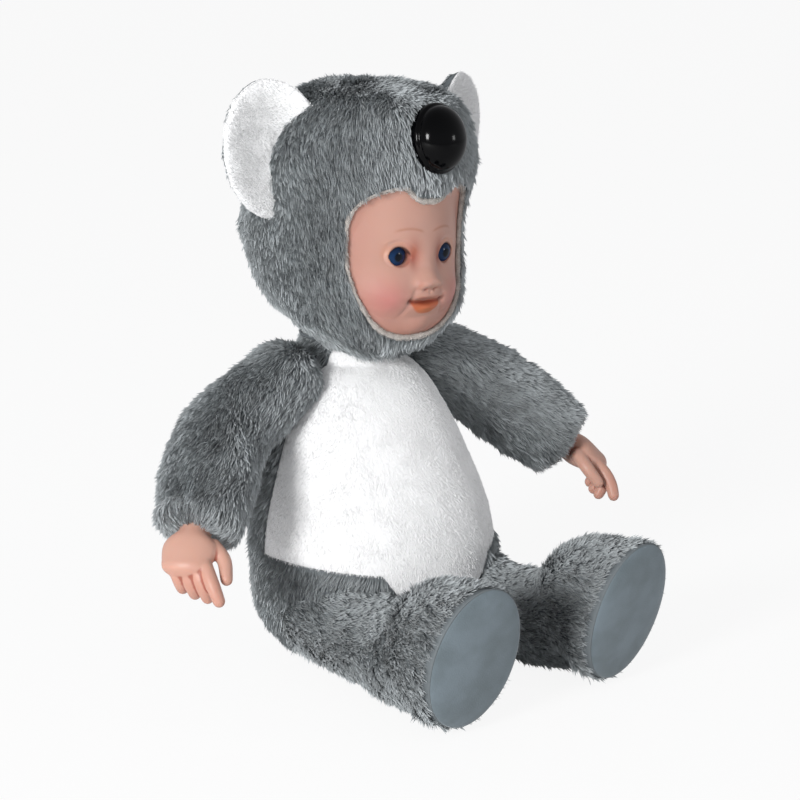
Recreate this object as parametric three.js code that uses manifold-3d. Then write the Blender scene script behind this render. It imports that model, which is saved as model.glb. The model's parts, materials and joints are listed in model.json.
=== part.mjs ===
// Baby doll in a hooded plush suit, seated on the floor with its legs out in front.
// Millimetres, +Z up. The doll faces -Y, and its own left is +X.
// The origin is on the floor, in the middle of the flat that the body sits on.

import * as THREE from 'three';
import Module from 'manifold-3d';
import { mergeVertices } from 'three/addons/utils/BufferGeometryUtils.js';

const wasm = await Module();
wasm.setup();

// Clearances and walls
const GAP = 0.3;
const CLOTH = 3;
const SEAT_FLAT = 1.6;
const BALL_GAP = 2.4;
const THREAD = 1.3;

// Body
const TORSO_WIDTH = 110;
const TORSO_DEPTH = 97;
const TORSO_HEIGHT = 130;
const PANEL_FOOT = 14;
const PANEL_FOOT_HALF = 8;
const PANEL_ARMHOLE = 45;
const PANEL_SHOULDER = 23;
const PANEL_SHOULDER_HALF = 35;
const PANEL_TOP = 5;
const PANEL_TOP_HALF = 26;
const SIDE_SEAM = 8;
const NECK_RADIUS = 23;
const NECK_SINK = 14;
const NECK_BACK = 2;
const POUCH_WIDTH = 50;
const POUCH_DEPTH = 20;
const POUCH_HEIGHT = 24;
const POUCH_LIFT = 11;
const POUCH_BACK = 12;
const POUCH_MOUTH = 8;

// Head, in its own frame before it leans
const HOOD_WIDTH = 94;
const HOOD_DEPTH = 96;
const HOOD_HEIGHT = 110;
const HOOD_SINK = 5;
const HEAD_LEAN = 3;
const HEAD_BOW = 2;
const FACE_WIDTH = 60;
const FACE_HEIGHT = 62;
const FACE_LIFT = 42.5;
const FACE_WIDEST = 8.5;
const FACE_CORNER = 3.2;
const FACE_JAW = 2.5;
const FACE_SINK = -1.4;
const FACE_RIM_SINK = 6;
const FACE_JAW_SINK = 0.17;
const LOBE_DROP = 6.5;
const LOBE_HALF = 9.5;
const HEM_RADIUS = 1.8;
const VINYL = 1.8;
const FACE_RIM = 4;
const FACE_RIM_FRONT = 17;
const EYE_RADIUS = 6.2;
const EYE_SPACING = 23.8;
const EYE_LIFT = 2.5;
const EYE_PROUD = 1.2;
const NOSE_WIDTH = 25;
const NOSE_TALL = 28;
const NOSE_THICK = 10;
const NOSE_DROP = 18;
const SHANK_RADIUS = 2.2;
const WASHER_RADIUS = 7;
const WASHER_THICK = 1.6;
const WASHER_SEAT = 3;
const EAR_WIDTH = 42;
const EAR_TALL = 58;
const EAR_THICK = 10;
const EAR_EDGE = 2;
const EAR_CUP = 5;
const EAR_CURL = 14;
const EAR_CURL_START = 0.3;
const EAR_CURL_RATE = 1.4;
const EAR_DROP = 27;
const EAR_OUT = 46;
const EAR_BACK = 7;
const EAR_TILT = 12;
const EAR_SWEEP = 10;
const EAR_GAP = 0.9;

// Arms, given for the left side
const SHOULDER = new THREE.Vector3(39, -2, 113);
const ELBOW = new THREE.Vector3(69, -5, 97);
const CUFF = new THREE.Vector3(95, -23.5, 75);
const SHOULDER_RADIUS = 16;
const ARM_RADIUS = 20.5;
const CUFF_RADIUS = 18.8;
const CUFF_CAP = 9;
const ARM_SWING = 19;

// Hands, in a frame with the wrist at the origin and the fingers down
const WRIST_RADIUS = 6.4;
const WRIST_LENGTH = 12;
const WRIST_FLANGE = 8;
const WRIST_FLANGE_THICK = 2.4;
const GROOVE_DEPTH = 1.4;
const GROOVE_WIDTH = 2.6;
const TIE_RADIUS = 0.8;
const PALM_WIDTH = 22.5;
const PALM_THICK = 13.5;
const PALM_LENGTH = 15;
const FINGER_RADIUS = 2.9;
const FINGER_LENGTH = 18;
const THUMB_RADIUS = 3;
const THUMB_LENGTH = 14;
const HAND_TURN = 32;

// Legs, given for the left side
const HIP = new THREE.Vector3(28, -24, 25);
const KNEE = new THREE.Vector3(33, -58, 20);
const ANKLE = new THREE.Vector3(37, -84, 21.5);
const INSTEP = new THREE.Vector3(40, -103, 30);
const FOOT = new THREE.Vector3(41, -121, 33);
const HIP_RADIUS = 25;
const THIGH_RADIUS = 19.5;
const LEG_SWING = 26;
const FOOT_WIDTH = 47;
const FOOT_HEIGHT = 66;
const FOOT_CAP = 6;
const SOLE_TIP = 14;
const SOLE_SPLAY = 4;
const SOLE_BORDER = 3;

// Heights that follow from the sizes
const NECK_HEIGHT = TORSO_HEIGHT - NECK_SINK;
const HOOD_BASE = TORSO_HEIGHT - HOOD_SINK;
const HOOD_TOP = HOOD_BASE + HOOD_HEIGHT;
const FACE_CENTRE = HOOD_BASE + FACE_LIFT;
const EYE_HEIGHT = FACE_CENTRE + EYE_LIFT;
const NOSE_HEIGHT = HOOD_TOP - NOSE_DROP;
const EAR_HEIGHT = HOOD_TOP - EAR_DROP;

// Finishes
const PLUSH_GREY = { color: 0x80878a, roughness: 0.95 };
const PLUSH_WHITE = { color: 0xf1f0ee, roughness: 0.95 };
const SUEDE_GREY = { color: 0x75848d, roughness: 0.9 };
const HEM_CREAM = { color: 0xc9c4c0, roughness: 0.9 };
const VINYL_SKIN = { color: 0xe9b9a0, roughness: 0.5 };
const GLOSS_BLACK = { color: 0x0a0a0c, roughness: 0.12 };
const EYE_BLUE = { color: 0x23456f, roughness: 0.08 };
const FIBRE_WHITE = { color: 0xf4f4f2, roughness: 1 };
const POUCH_CLOTH = { color: 0xd9d2c4, roughness: 0.9 };
const THREAD_GREY = { color: 0x5f6568, roughness: 0.8 };
const TIE_WHITE = { color: 0xe4e4e0, roughness: 0.5 };
const WASHER_PLASTIC = { color: 0x2a2a2c, roughness: 0.5 };

// Round shapes: how many steps a form gets
const HOOD_STEPS = { rings: 14, segments: 24 };
const TORSO_STEPS = { rings: 12, segments: 24 };
const LIMB_STEPS = { rings: 8, segments: 16, cap: 3 };
const FILL_STEPS = { rings: 6, segments: 12, cap: 2 };
const HOOD_INNER_STEPS = { rings: 8, segments: 16 };
const FACE_STEPS = { rings: 11, segments: 28 };
const HEM_STEPS = { along: 48, round: 7 };
const FACE_BACK_STEPS = { rings: 6, segments: 16 };
const EAR_STEPS = { rings: 4, segments: 20 };
const POUCH_STEPS = { rings: 5, segments: 14 };
const PALM_STEPS = { rings: 4, segments: 14, cap: 2 };
const FINGER_STEPS = { rings: 3, segments: 7, cap: 2 };
const POCKET_SIDES = 18;
const FILL_POCKET_SIDES = 10;
const RING_STEPS = 16;
const FILL_POCKET_ROOM = 1;

const doll = new THREE.Group();

// Solids

// Turns a geometry into a solid, with its shared points merged and its empty triangles dropped.
function solidOf(geometry) {
  const bare = geometry.clone();
  bare.deleteAttribute('normal');
  bare.deleteAttribute('uv');
  const merged = mergeVertices(bare, 1e-4);
  const corners = [];
  for (let i = 0; i < merged.index.count; i += 3) {
    const [a, b, c] = [0, 1, 2].map((k) => merged.index.getX(i + k));
    if (a !== b && b !== c && c !== a) {
      corners.push(a, b, c);
    }
  }
  return new wasm.Manifold(new wasm.Mesh({
    numProp: 3,
    vertProperties: new Float32Array(merged.attributes.position.array),
    triVerts: new Uint32Array(corners),
  }));
}

function geometryOf(solid) {
  const mesh = solid.getMesh();
  const geometry = new THREE.BufferGeometry();
  geometry.setAttribute('position', new THREE.BufferAttribute(new Float32Array(mesh.vertProperties), 3));
  geometry.setIndex(new THREE.BufferAttribute(new Uint32Array(mesh.triVerts), 1));
  return geometry;
}

function geometryFrom(points, index) {
  const geometry = new THREE.BufferGeometry();
  geometry.setFromPoints(points);
  geometry.setIndex(index);
  let volume = 0;
  for (let i = 0; i < index.length; i += 3) {
    const [a, b, c] = [points[index[i]], points[index[i + 1]], points[index[i + 2]]];
    volume += a.dot(b.clone().cross(c));
  }
  if (volume < 0) {
    geometry.setIndex(index.slice().reverse());
  }
  return geometry;
}

// A closed skin over a row of rings with the same number of points, with a fan at each end.
function skinOver(rings, firstPole, lastPole) {
  const count = rings[0].length;
  const points = rings.flat();
  const index = [];
  for (let k = 0; k + 1 < rings.length; k += 1) {
    for (let i = 0; i < count; i += 1) {
      const a = k * count + i;
      const b = k * count + ((i + 1) % count);
      index.push(a, b, a + count, b, b + count, a + count);
    }
  }
  const first = points.push(firstPole) - 1;
  const last = points.push(lastPole) - 1;
  const end = (rings.length - 1) * count;
  for (let i = 0; i < count; i += 1) {
    const next = (i + 1) % count;
    index.push(first, next, i, last, end + i, end + next);
  }
  return solidOf(geometryFrom(points, index));
}

// A closed tube round a closed line of points.
function hoopOver(line, radius, sides) {
  const closed = new THREE.CatmullRomCurve3(line, true);
  const count = line.length;
  const frames = closed.computeFrenetFrames(count, true);
  const points = [];
  for (let k = 0; k < count; k += 1) {
    const centre = closed.getPointAt(k / count);
    for (let i = 0; i < sides; i += 1) {
      const angle = (i / sides) * 2 * Math.PI;
      points.push(centre.clone()
        .addScaledVector(frames.normals[k], radius * Math.cos(angle))
        .addScaledVector(frames.binormals[k], radius * Math.sin(angle)));
    }
  }
  const index = [];
  for (let k = 0; k < count; k += 1) {
    for (let i = 0; i < sides; i += 1) {
      const a = k * sides + i;
      const b = k * sides + ((i + 1) % sides);
      const c = ((k + 1) % count) * sides + i;
      const d = ((k + 1) % count) * sides + ((i + 1) % sides);
      index.push(a, b, c, b, d, c);
    }
  }
  return solidOf(geometryFrom(points, index));
}

// A plate over a disc in the XZ plane: its front and back are heights along Y.
function plateOver({ rings, segments, outline, front, back }) {
  const points = [];
  const index = [];
  [front, back].forEach((surface, face) => {
    const start = points.length;
    const [midX, midZ] = outline(0, 0);
    points.push(new THREE.Vector3(midX, surface(midX, midZ, 0), midZ));
    for (let k = 1; k <= rings; k += 1) {
      const share = k / rings;
      for (let i = 0; i < segments; i += 1) {
        const [x, z] = outline(share, (i / segments) * 2 * Math.PI);
        points.push(new THREE.Vector3(x, surface(x, z, share), z));
      }
    }
    for (let i = 0; i < segments; i += 1) {
      const next = (i + 1) % segments;
      const fan = [start, start + 1 + i, start + 1 + next];
      index.push(...(face ? fan : fan.slice().reverse()));
      for (let k = 0; k + 1 < rings; k += 1) {
        const a = start + 1 + k * segments + i;
        const b = start + 1 + k * segments + next;
        const pair = [a, a + segments, b, b, a + segments, b + segments];
        index.push(...(face ? pair : pair.slice().reverse()));
      }
    }
  });
  const half = points.length / 2;
  const rim = 1 + (rings - 1) * segments;
  for (let i = 0; i < segments; i += 1) {
    const next = (i + 1) % segments;
    index.push(rim + i, rim + next, half + rim + i, rim + next, half + rim + next, half + rim + i);
  }
  return solidOf(geometryFrom(points, index));
}

function ball(centre, radius, segments = 28) {
  return solidOf(new THREE.SphereGeometry(radius, segments, Math.round(segments * 0.6)))
    .translate([centre.x, centre.y, centre.z]);
}

function block(low, high) {
  const size = new THREE.Vector3().subVectors(high, low);
  const middle = new THREE.Vector3().addVectors(low, high).multiplyScalar(0.5);
  return solidOf(new THREE.BoxGeometry(size.x, size.y, size.z)).translate([middle.x, middle.y, middle.z]);
}

// A round bar along +Z from one height to another.
function bar(radius, from, to, sides = 24) {
  const geometry = new THREE.CylinderGeometry(radius, radius, to - from, sides);
  geometry.rotateX(Math.PI / 2);
  geometry.translate(0, 0, (from + to) / 2);
  return solidOf(geometry);
}

function placed(solid, matrix) {
  return solid.transform(matrix.elements);
}

// A closed shape drawn in the XZ plane and pulled from one Y to another.
function prismXZ(points, fromY, toY) {
  const shape = new THREE.Shape(points.map(([x, z]) => new THREE.Vector2(x, z)));
  const geometry = new THREE.ExtrudeGeometry(shape, { depth: toY - fromY, bevelEnabled: false });
  geometry.rotateX(Math.PI / 2);
  geometry.translate(0, toY, 0);
  return solidOf(geometry);
}

function ellipseXZ(halfWidth, halfHeight, centre, steps) {
  return Array.from({ length: steps }, (_, i) => {
    const angle = (i / steps) * 2 * Math.PI;
    return [halfWidth * Math.sin(angle), centre + halfHeight * Math.cos(angle)];
  });
}

const FAR = 300;
const FLOOR = block(new THREE.Vector3(-FAR, -FAR, -FAR), new THREE.Vector3(FAR, FAR, 0));

function addPiece(name, solid, finish, parent = doll) {
  const mesh = new THREE.Mesh(geometryOf(solid), new THREE.MeshStandardMaterial({ metalness: 0, ...finish }));
  mesh.name = name;
  parent.add(mesh);
}

// Stuffed forms that stand: oval rings stacked on one another.
// A profile row is the share of the half width, the shift forward as a share of the depth,
// and the share of the height.

function standingRings(form, inset, steps) {
  const { width, depth, height, base, profile } = form;
  const curve = new THREE.CatmullRomCurve3(profile.map((row) => new THREE.Vector3(...row)));
  const stops = curve.getSpacedPoints(steps.rings + 1);
  const at = (stop, angle) => new THREE.Vector3(
    (width / 2 - inset) * stop.x * Math.sin(angle),
    -depth * stop.y - (depth / 2 - inset) * stop.x * Math.cos(angle),
    base + inset + (height - 2 * inset) * stop.z,
  );
  const ring = (stop) => Array.from(
    { length: steps.segments },
    (_, i) => at(stop, (i / steps.segments) * 2 * Math.PI),
  );
  const [first, last] = [at(stops[0], 0), at(stops[stops.length - 1], 0)];
  return skinOver(stops.slice(1, -1).map(ring), first, last);
}

// The share of the half width and the shift forward of a standing form at a height.
function sectionAt(form, z) {
  const curve = new THREE.CatmullRomCurve3(form.profile.map((row) => new THREE.Vector3(...row)));
  const wanted = (z - form.base) / form.height;
  const stops = curve.getPoints(400);
  return stops.reduce((best, stop) => (Math.abs(stop.z - wanted) < Math.abs(best.z - wanted) ? stop : best));
}

// How far forward the form's skin lies at a place seen from the front.
function frontAt(form, x, z) {
  const section = sectionAt(form, z);
  const across = Math.min(Math.abs(x) / (section.x * form.width / 2), 1);
  return form.depth * section.y + (form.depth / 2) * section.x * Math.sqrt(1 - across * across);
}

// Stuffed forms that lie along a line: oval rings with a round start and a domed end.
// A girth row is the share of the line, the half width and the half height.

// Which way a form runs at a share of its line, with its last rings turned to the end's own face.
function facingAt({ path, endFace }, share) {
  const tangent = path.getTangent(share);
  return endFace ? tangent.lerp(endFace, THREE.MathUtils.smoothstep(share, 0.6, 1)).normalize() : tangent;
}

function limbRings(form, inset, steps) {
  const { path, girth, up, startCap, endCap } = form;
  const curve = new THREE.CatmullRomCurve3(girth.map((row) => new THREE.Vector3(...row)));
  const ringAt = (share, across, tall, push, squeeze) => {
    const tangent = facingAt(form, share);
    const side = new THREE.Vector3().crossVectors(up, tangent).normalize();
    const top = new THREE.Vector3().crossVectors(tangent, side);
    const centre = path.getPoint(share).addScaledVector(tangent, push);
    return Array.from({ length: steps.segments }, (_, i) => {
      const angle = (i / steps.segments) * 2 * Math.PI;
      return centre.clone()
        .addScaledVector(side, (across - inset) * squeeze * Math.cos(angle))
        .addScaledVector(top, (tall - inset) * squeeze * Math.sin(angle));
    });
  };
  const rings = [];
  const [startRow, endRow] = [girth[0], girth[girth.length - 1]];
  for (let k = 1; k < steps.cap; k += 1) {
    const angle = (1 - k / steps.cap) * (Math.PI / 2);
    const push = -(startCap - inset) * Math.sin(angle);
    rings.push(ringAt(0, startRow[1], startRow[2], push, Math.cos(angle)));
  }
  for (let k = 0; k <= steps.rings; k += 1) {
    const row = curve.getPoint(k / steps.rings);
    const share = THREE.MathUtils.clamp(row.x, 0, 1);
    rings.push(ringAt(share, row.y, row.z, 0, 1));
  }
  for (let k = 1; k < steps.cap; k += 1) {
    const angle = (k / steps.cap) * (Math.PI / 2);
    const push = (endCap - inset) * Math.sin(angle);
    rings.push(ringAt(1, endRow[1], endRow[2], push, Math.cos(angle)));
  }
  const firstPole = path.getPoint(0).addScaledVector(path.getTangent(0), -(startCap - inset));
  const lastPole = path.getPoint(1).addScaledVector(facingAt(form, 1), endCap - inset);
  return skinOver(rings, firstPole, lastPole);
}

// Main forms

const torso = {
  width: TORSO_WIDTH,
  depth: TORSO_DEPTH,
  height: TORSO_HEIGHT + SEAT_FLAT,
  base: -SEAT_FLAT,
  profile: [
    [0, 0.12, 0],
    [0.42, 0.12, 0.004],
    [0.73, 0.13, 0.035],
    [0.94, 0.15, 0.15],
    [1, 0.16, 0.3],
    [0.97, 0.14, 0.46],
    [0.86, 0.1, 0.62],
    [0.74, 0.05, 0.77],
    [0.56, 0.01, 0.9],
    [0.3, -0.01, 0.97],
    [0, -0.01, 1],
  ],
};

const hood = {
  width: HOOD_WIDTH,
  depth: HOOD_DEPTH,
  height: HOOD_HEIGHT,
  base: HOOD_BASE,
  profile: [
    [0, 0.11, 0],
    [0.31, 0.11, 0.01],
    [0.55, 0.11, 0.075],
    [0.855, 0.04, 0.21],
    [0.95, -0.04, 0.4],
    [0.95, -0.04, 0.56],
    [0.97, -0.01, 0.71],
    [0.85, 0.03, 0.85],
    [0.665, 0.07, 0.95],
    [0.31, 0.07, 0.992],
    [0, 0.07, 1],
  ],
};

const neck = new THREE.Vector3(0, NECK_BACK, NECK_HEIGHT);

function mirrored(vector, side) {
  return new THREE.Vector3(side * vector.x, vector.y, vector.z);
}

function armForm(side) {
  const points = [SHOULDER, ELBOW, CUFF].map((point) => mirrored(point, side));
  return {
    path: new THREE.CatmullRomCurve3(points),
    girth: [
      [0, SHOULDER_RADIUS, SHOULDER_RADIUS],
      [0.3, ARM_RADIUS - 2, ARM_RADIUS - 2],
      [0.7, ARM_RADIUS, ARM_RADIUS],
      [1, CUFF_RADIUS, CUFF_RADIUS],
    ],
    up: new THREE.Vector3(0, 1, 0),
    startCap: SHOULDER_RADIUS,
    endCap: CUFF_CAP,
  };
}

function legForm(side) {
  const points = [HIP, KNEE, ANKLE, INSTEP, FOOT].map((point) => mirrored(point, side));
  const tip = THREE.MathUtils.degToRad(SOLE_TIP);
  const splay = THREE.MathUtils.degToRad(SOLE_SPLAY);
  return {
    path: new THREE.CatmullRomCurve3(points),
    endFace: new THREE.Vector3(
      side * Math.sin(splay) * Math.cos(tip),
      -Math.cos(splay) * Math.cos(tip),
      -Math.sin(tip),
    ),
    girth: [
      [0, HIP_RADIUS, HIP_RADIUS],
      [0.15, THIGH_RADIUS + 2, THIGH_RADIUS + 2],
      [0.3, THIGH_RADIUS, THIGH_RADIUS],
      [0.52, THIGH_RADIUS + 0.5, THIGH_RADIUS + 2],
      [0.75, FOOT_WIDTH / 2 - 0.5, FOOT_HEIGHT / 2 - 3],
      [1, FOOT_WIDTH / 2, FOOT_HEIGHT / 2],
    ],
    up: new THREE.Vector3(0, 0, 1),
    startCap: HIP_RADIUS,
    endCap: FOOT_CAP,
  };
}

const SIDES = [['left', 1], ['right', -1]];
const shoulders = SIDES.map(([, side]) => mirrored(SHOULDER, side));
const hips = SIDES.map(([, side]) => mirrored(HIP, side));
const neckBall = ball(neck, NECK_RADIUS, 24);

// The room that a limb sweeps as it swings: a cone round it that widens away from its joint.
function sweptRoom(root, next, radius, swing, sides) {
  const along = new THREE.Vector3().subVectors(next, root);
  const reach = along.length() * 1.6;
  const wide = radius + reach * Math.tan(THREE.MathUtils.degToRad(swing));
  const cone = new THREE.CylinderGeometry(wide, radius, reach, sides);
  cone.translate(0, reach / 2, 0);
  const turn = new THREE.Quaternion().setFromUnitVectors(new THREE.Vector3(0, 1, 0), along.normalize());
  cone.applyQuaternion(turn);
  cone.translate(root.x, root.y, root.z);
  return solidOf(cone);
}

function clearOfLimbs(solid, grow, sides) {
  let cut = solid;
  SIDES.forEach(([, side]) => {
    const ends = (points) => points.map((point) => mirrored(point, side));
    cut = cut
      .subtract(sweptRoom(...ends([HIP, KNEE]), THIGH_RADIUS + grow, LEG_SWING, sides))
      .subtract(sweptRoom(...ends([SHOULDER, ELBOW]), SHOULDER_RADIUS + grow, ARM_SWING, sides));
  });
  return cut;
}

// A body with round pockets for the arms and legs, as big as they need to turn in.
function withPockets(solid, grow, sides) {
  let cut = solid.subtract(FLOOR);
  shoulders.forEach((centre) => {
    cut = cut.subtract(ball(centre, SHOULDER_RADIUS + BALL_GAP + grow, sides));
  });
  hips.forEach((centre) => {
    cut = cut.subtract(ball(centre, HIP_RADIUS + BALL_GAP + grow, sides));
  });
  return cut;
}

function addTorso() {
  const outer = clearOfLimbs(standingRings(torso, 0, TORSO_STEPS), 0, POCKET_SIDES).add(neckBall);
  const inner = clearOfLimbs(standingRings(torso, CLOTH, FILL_STEPS), CLOTH, FILL_POCKET_SIDES)
    .add(ball(neck, NECK_RADIUS - CLOTH, 12));
  const shell = withPockets(outer.subtract(inner), 0, POCKET_SIDES);
  const panelOutline = (grow) => {
    const thighTop = HIP.z + HIP_RADIUS;
    const right = [
      [PANEL_FOOT_HALF + grow, PANEL_FOOT - grow],
      [HIP.x + grow, thighTop - PANEL_TOP - grow],
      [TORSO_WIDTH * 0.6 + grow, thighTop - grow],
      [TORSO_WIDTH * 0.6 + grow, TORSO_HEIGHT - PANEL_ARMHOLE],
      [PANEL_SHOULDER_HALF + grow, TORSO_HEIGHT - PANEL_SHOULDER],
      [PANEL_TOP_HALF + grow, TORSO_HEIGHT - PANEL_TOP + grow],
    ];
    const left = right.map(([x, z]) => [-x, z]).reverse();
    return [...right, ...left];
  };
  const panelCut = prismXZ(panelOutline(0), -FAR, -SIDE_SEAM);
  const backCut = prismXZ(panelOutline(GAP), -FAR, -SIDE_SEAM + GAP);
  addPiece('back_panel', shell.subtract(backCut), PLUSH_GREY);
  addPiece('belly_panel', shell.intersect(panelCut), PLUSH_WHITE);

  const pouch = {
    width: POUCH_WIDTH,
    depth: POUCH_DEPTH,
    height: POUCH_HEIGHT,
    base: POUCH_LIFT,
    profile: [[0, 0, 0], [0.8, 0, 0.04], [1, 0, 0.4], [0.85, 0, 0.85], [0, 0, 1]],
  };
  const pouchSolid = (grow) => standingRings(pouch, -grow, POUCH_STEPS).translate([0, POUCH_BACK, 0]);
  const room = CLOTH + GAP + FILL_POCKET_ROOM;
  const seat = block(new THREE.Vector3(-FAR, -FAR, -FAR), new THREE.Vector3(FAR, FAR, CLOTH + GAP));
  const stuffing = clearOfLimbs(standingRings(torso, CLOTH + GAP, FILL_STEPS), room, FILL_POCKET_SIDES);
  const mouth = bar(POUCH_MOUTH, 0, POUCH_LIFT + POUCH_HEIGHT / 2, 12).translate([0, POUCH_BACK, 0]);
  const fill = withPockets(stuffing.subtract(seat), FILL_POCKET_ROOM, FILL_POCKET_SIDES)
    .subtract(pouchSolid(GAP).add(mouth));
  addPiece('torso_fill', fill, FIBRE_WHITE);
  addPiece('bean_pouch', pouchSolid(0), POUCH_CLOTH);
}

// Ring of thread that lies on a ball round a joint, on the side that a direction points to.
function stitchRing(centre, ballRadius, toward, share) {
  const radius = ballRadius + BALL_GAP / 2;
  const axis = toward.clone().normalize();
  const ringRadius = radius * share;
  const lift = Math.sqrt(radius * radius - ringRadius * ringRadius);
  const turn = new THREE.Quaternion().setFromUnitVectors(new THREE.Vector3(0, 0, 1), axis);
  const points = Array.from({ length: RING_STEPS }, (_, i) => {
    const angle = (i / RING_STEPS) * 2 * Math.PI;
    return new THREE.Vector3(ringRadius * Math.cos(angle), ringRadius * Math.sin(angle), lift)
      .applyQuaternion(turn)
      .add(centre);
  });
  return hoopOver(points, THREAD / 2, 4);
}

// Face

// Edge of the face opening, grown all round: squarer above its widest place than below it.
function faceEdge(angle, grow) {
  const upper = Math.cos(angle) > 0;
  const power = upper ? FACE_CORNER : FACE_JAW;
  const across = Math.abs(Math.sin(angle)) / (FACE_WIDTH / 2 + grow);
  const tall = Math.abs(Math.cos(angle)) / (FACE_HEIGHT / 2 + (upper ? -FACE_WIDEST : FACE_WIDEST) + grow);
  const reach = (across ** power + tall ** power) ** (-1 / power);
  return [reach * Math.sin(angle), FACE_CENTRE + FACE_WIDEST + reach * Math.cos(angle)];
}

// Outline of the hood's opening, which dips in a lobe over the forehead, moved out square to
// its own run.
function hoodOpening(grow, steps) {
  const line = Array.from({ length: steps }, (_, i) => {
    const angle = (i / steps) * 2 * Math.PI;
    const [x, z] = faceEdge(angle, 0);
    const lobe = Math.cos(angle) > 0 ? LOBE_DROP * Math.exp(-((x / LOBE_HALF) ** 4)) : 0;
    return [x, z - lobe];
  });
  return line.map(([x, z], i) => {
    const [beforeX, beforeZ] = line[(i + steps - 1) % steps];
    const [afterX, afterZ] = line[(i + 1) % steps];
    const [runX, runZ] = [afterX - beforeX, afterZ - beforeZ];
    const run = Math.hypot(runX, runZ);
    return [x - (grow * runZ) / run, z + (grow * runX) / run];
  });
}

// Swellings and hollows of the face: the place across and below the eyes, the spread across
// and up, and how far each stands out. One with a place across comes on both sides.
const EYE_ACROSS = EYE_SPACING / 2;
const FACE_FORMS = [
  { part: 'tip of the nose', across: 0, below: 9, wide: 4.2, tall: 4.4, high: 4.2 },
  { part: 'nostril wing', across: 4, below: 10.4, wide: 2.4, tall: 2.2, high: 1.4 },
  { part: 'bridge of the nose', across: 0, below: 3, wide: 3, tall: 6.5, high: 1.4 },
  { part: 'cheek', across: 16.5, below: 15.5, wide: 8.5, tall: 8.5, high: 3.4 },
  { part: 'eye socket', across: EYE_ACROSS, below: 0, wide: 6, tall: 4.6, high: -2.4 },
  { part: 'muzzle', across: 0, below: 17, wide: 14, tall: 11, high: 1.8 },
  { part: 'upper lip', across: 0, below: 15.2, wide: 6.5, tall: 1.6, high: 1.4 },
  { part: 'mouth line', across: 0, below: 17.4, wide: 7, tall: 1.2, high: -2 },
  { part: 'lower lip', across: 0, below: 20.2, wide: 5, tall: 1.8, high: 1.6 },
  { part: 'chin', across: 0, below: 29, wide: 8, tall: 5, high: 3 },
];

// How far forward the vinyl face lies at a place seen from the front: just proud of the hood's
// outside between the eyes, and behind it towards the jaw and the edge.
function faceAt(x, z) {
  const u = x / (FACE_WIDTH / 2 + FACE_RIM);
  const v = (z - FACE_CENTRE) / (FACE_HEIGHT / 2 + FACE_RIM);
  const jaw = FACE_JAW_SINK * Math.max(EYE_HEIGHT - z, 0);
  const sink = Math.min(FACE_SINK + (FACE_RIM_SINK - FACE_SINK) * (u * u + v * v) + jaw, FACE_RIM_SINK);
  const relief = FACE_FORMS.reduce((sum, { across, below, wide, tall, high }) => {
    const [du, dv] = [((across ? Math.abs(x) : x) - across) / wide, (z - EYE_HEIGHT + below) / tall];
    return sum + high * Math.exp(-(du * du + dv * dv));
  }, 0);
  return Math.max(frontAt(hood, x, z) - sink + relief, FACE_RIM_FRONT + VINYL / 2);
}

function faceOutline(grow) {
  return (share, angle) => {
    const [x, z] = faceEdge(angle, FACE_RIM + grow);
    return [share * x, FACE_CENTRE + share * (z - FACE_CENTRE)];
  };
}

function eyeCentre(side) {
  const x = side * EYE_SPACING / 2;
  return new THREE.Vector3(x, -(faceAt(x, EYE_HEIGHT) + EYE_PROUD - EYE_RADIUS), EYE_HEIGHT);
}

// The solid inside the face's front surface, grown all round.
function faceBlank(grow) {
  return plateOver({
    ...FACE_STEPS,
    outline: faceOutline(grow),
    front: (x, z) => -faceAt(x, z) - grow,
    back: () => -FACE_RIM_FRONT + grow,
  });
}

function faceMask() {
  let mask = plateOver({
    ...FACE_STEPS,
    outline: faceOutline(0),
    front: (x, z) => -faceAt(x, z),
    back: () => -FACE_RIM_FRONT,
  });
  const hollow = plateOver({
    ...FACE_BACK_STEPS,
    outline: faceOutline(-VINYL),
    front: (x, z) => -faceAt(x, z) + VINYL,
    back: () => -FACE_RIM_FRONT + FAR,
  });
  mask = mask.subtract(hollow);
  SIDES.forEach(([, side]) => {
    mask = mask.subtract(ball(eyeCentre(side), EYE_RADIUS + GAP, 16));
  });
  return mask;
}

// Head

function noseFrame() {
  const step = 2;
  const front = frontAt(hood, 0, NOSE_HEIGHT);
  const slope = (frontAt(hood, 0, NOSE_HEIGHT + step) - frontAt(hood, 0, NOSE_HEIGHT - step)) / (2 * step);
  const tip = Math.atan(-slope);
  return new THREE.Matrix4()
    .makeTranslation(0, -front, NOSE_HEIGHT)
    .multiply(new THREE.Matrix4().makeRotationX(Math.PI / 2 - tip));
}

function noseSolid() {
  const half = new THREE.SphereGeometry(1, 18, 10);
  half.scale(NOSE_WIDTH / 2, NOSE_TALL / 2, NOSE_THICK);
  const dome = solidOf(half).subtract(block(
    new THREE.Vector3(-FAR, -FAR, -FAR),
    new THREE.Vector3(FAR, FAR, -CLOTH / 2),
  ));
  const shank = bar(SHANK_RADIUS, -CLOTH - WASHER_THICK - 3, 1, 12);
  return [dome, shank];
}

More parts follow.
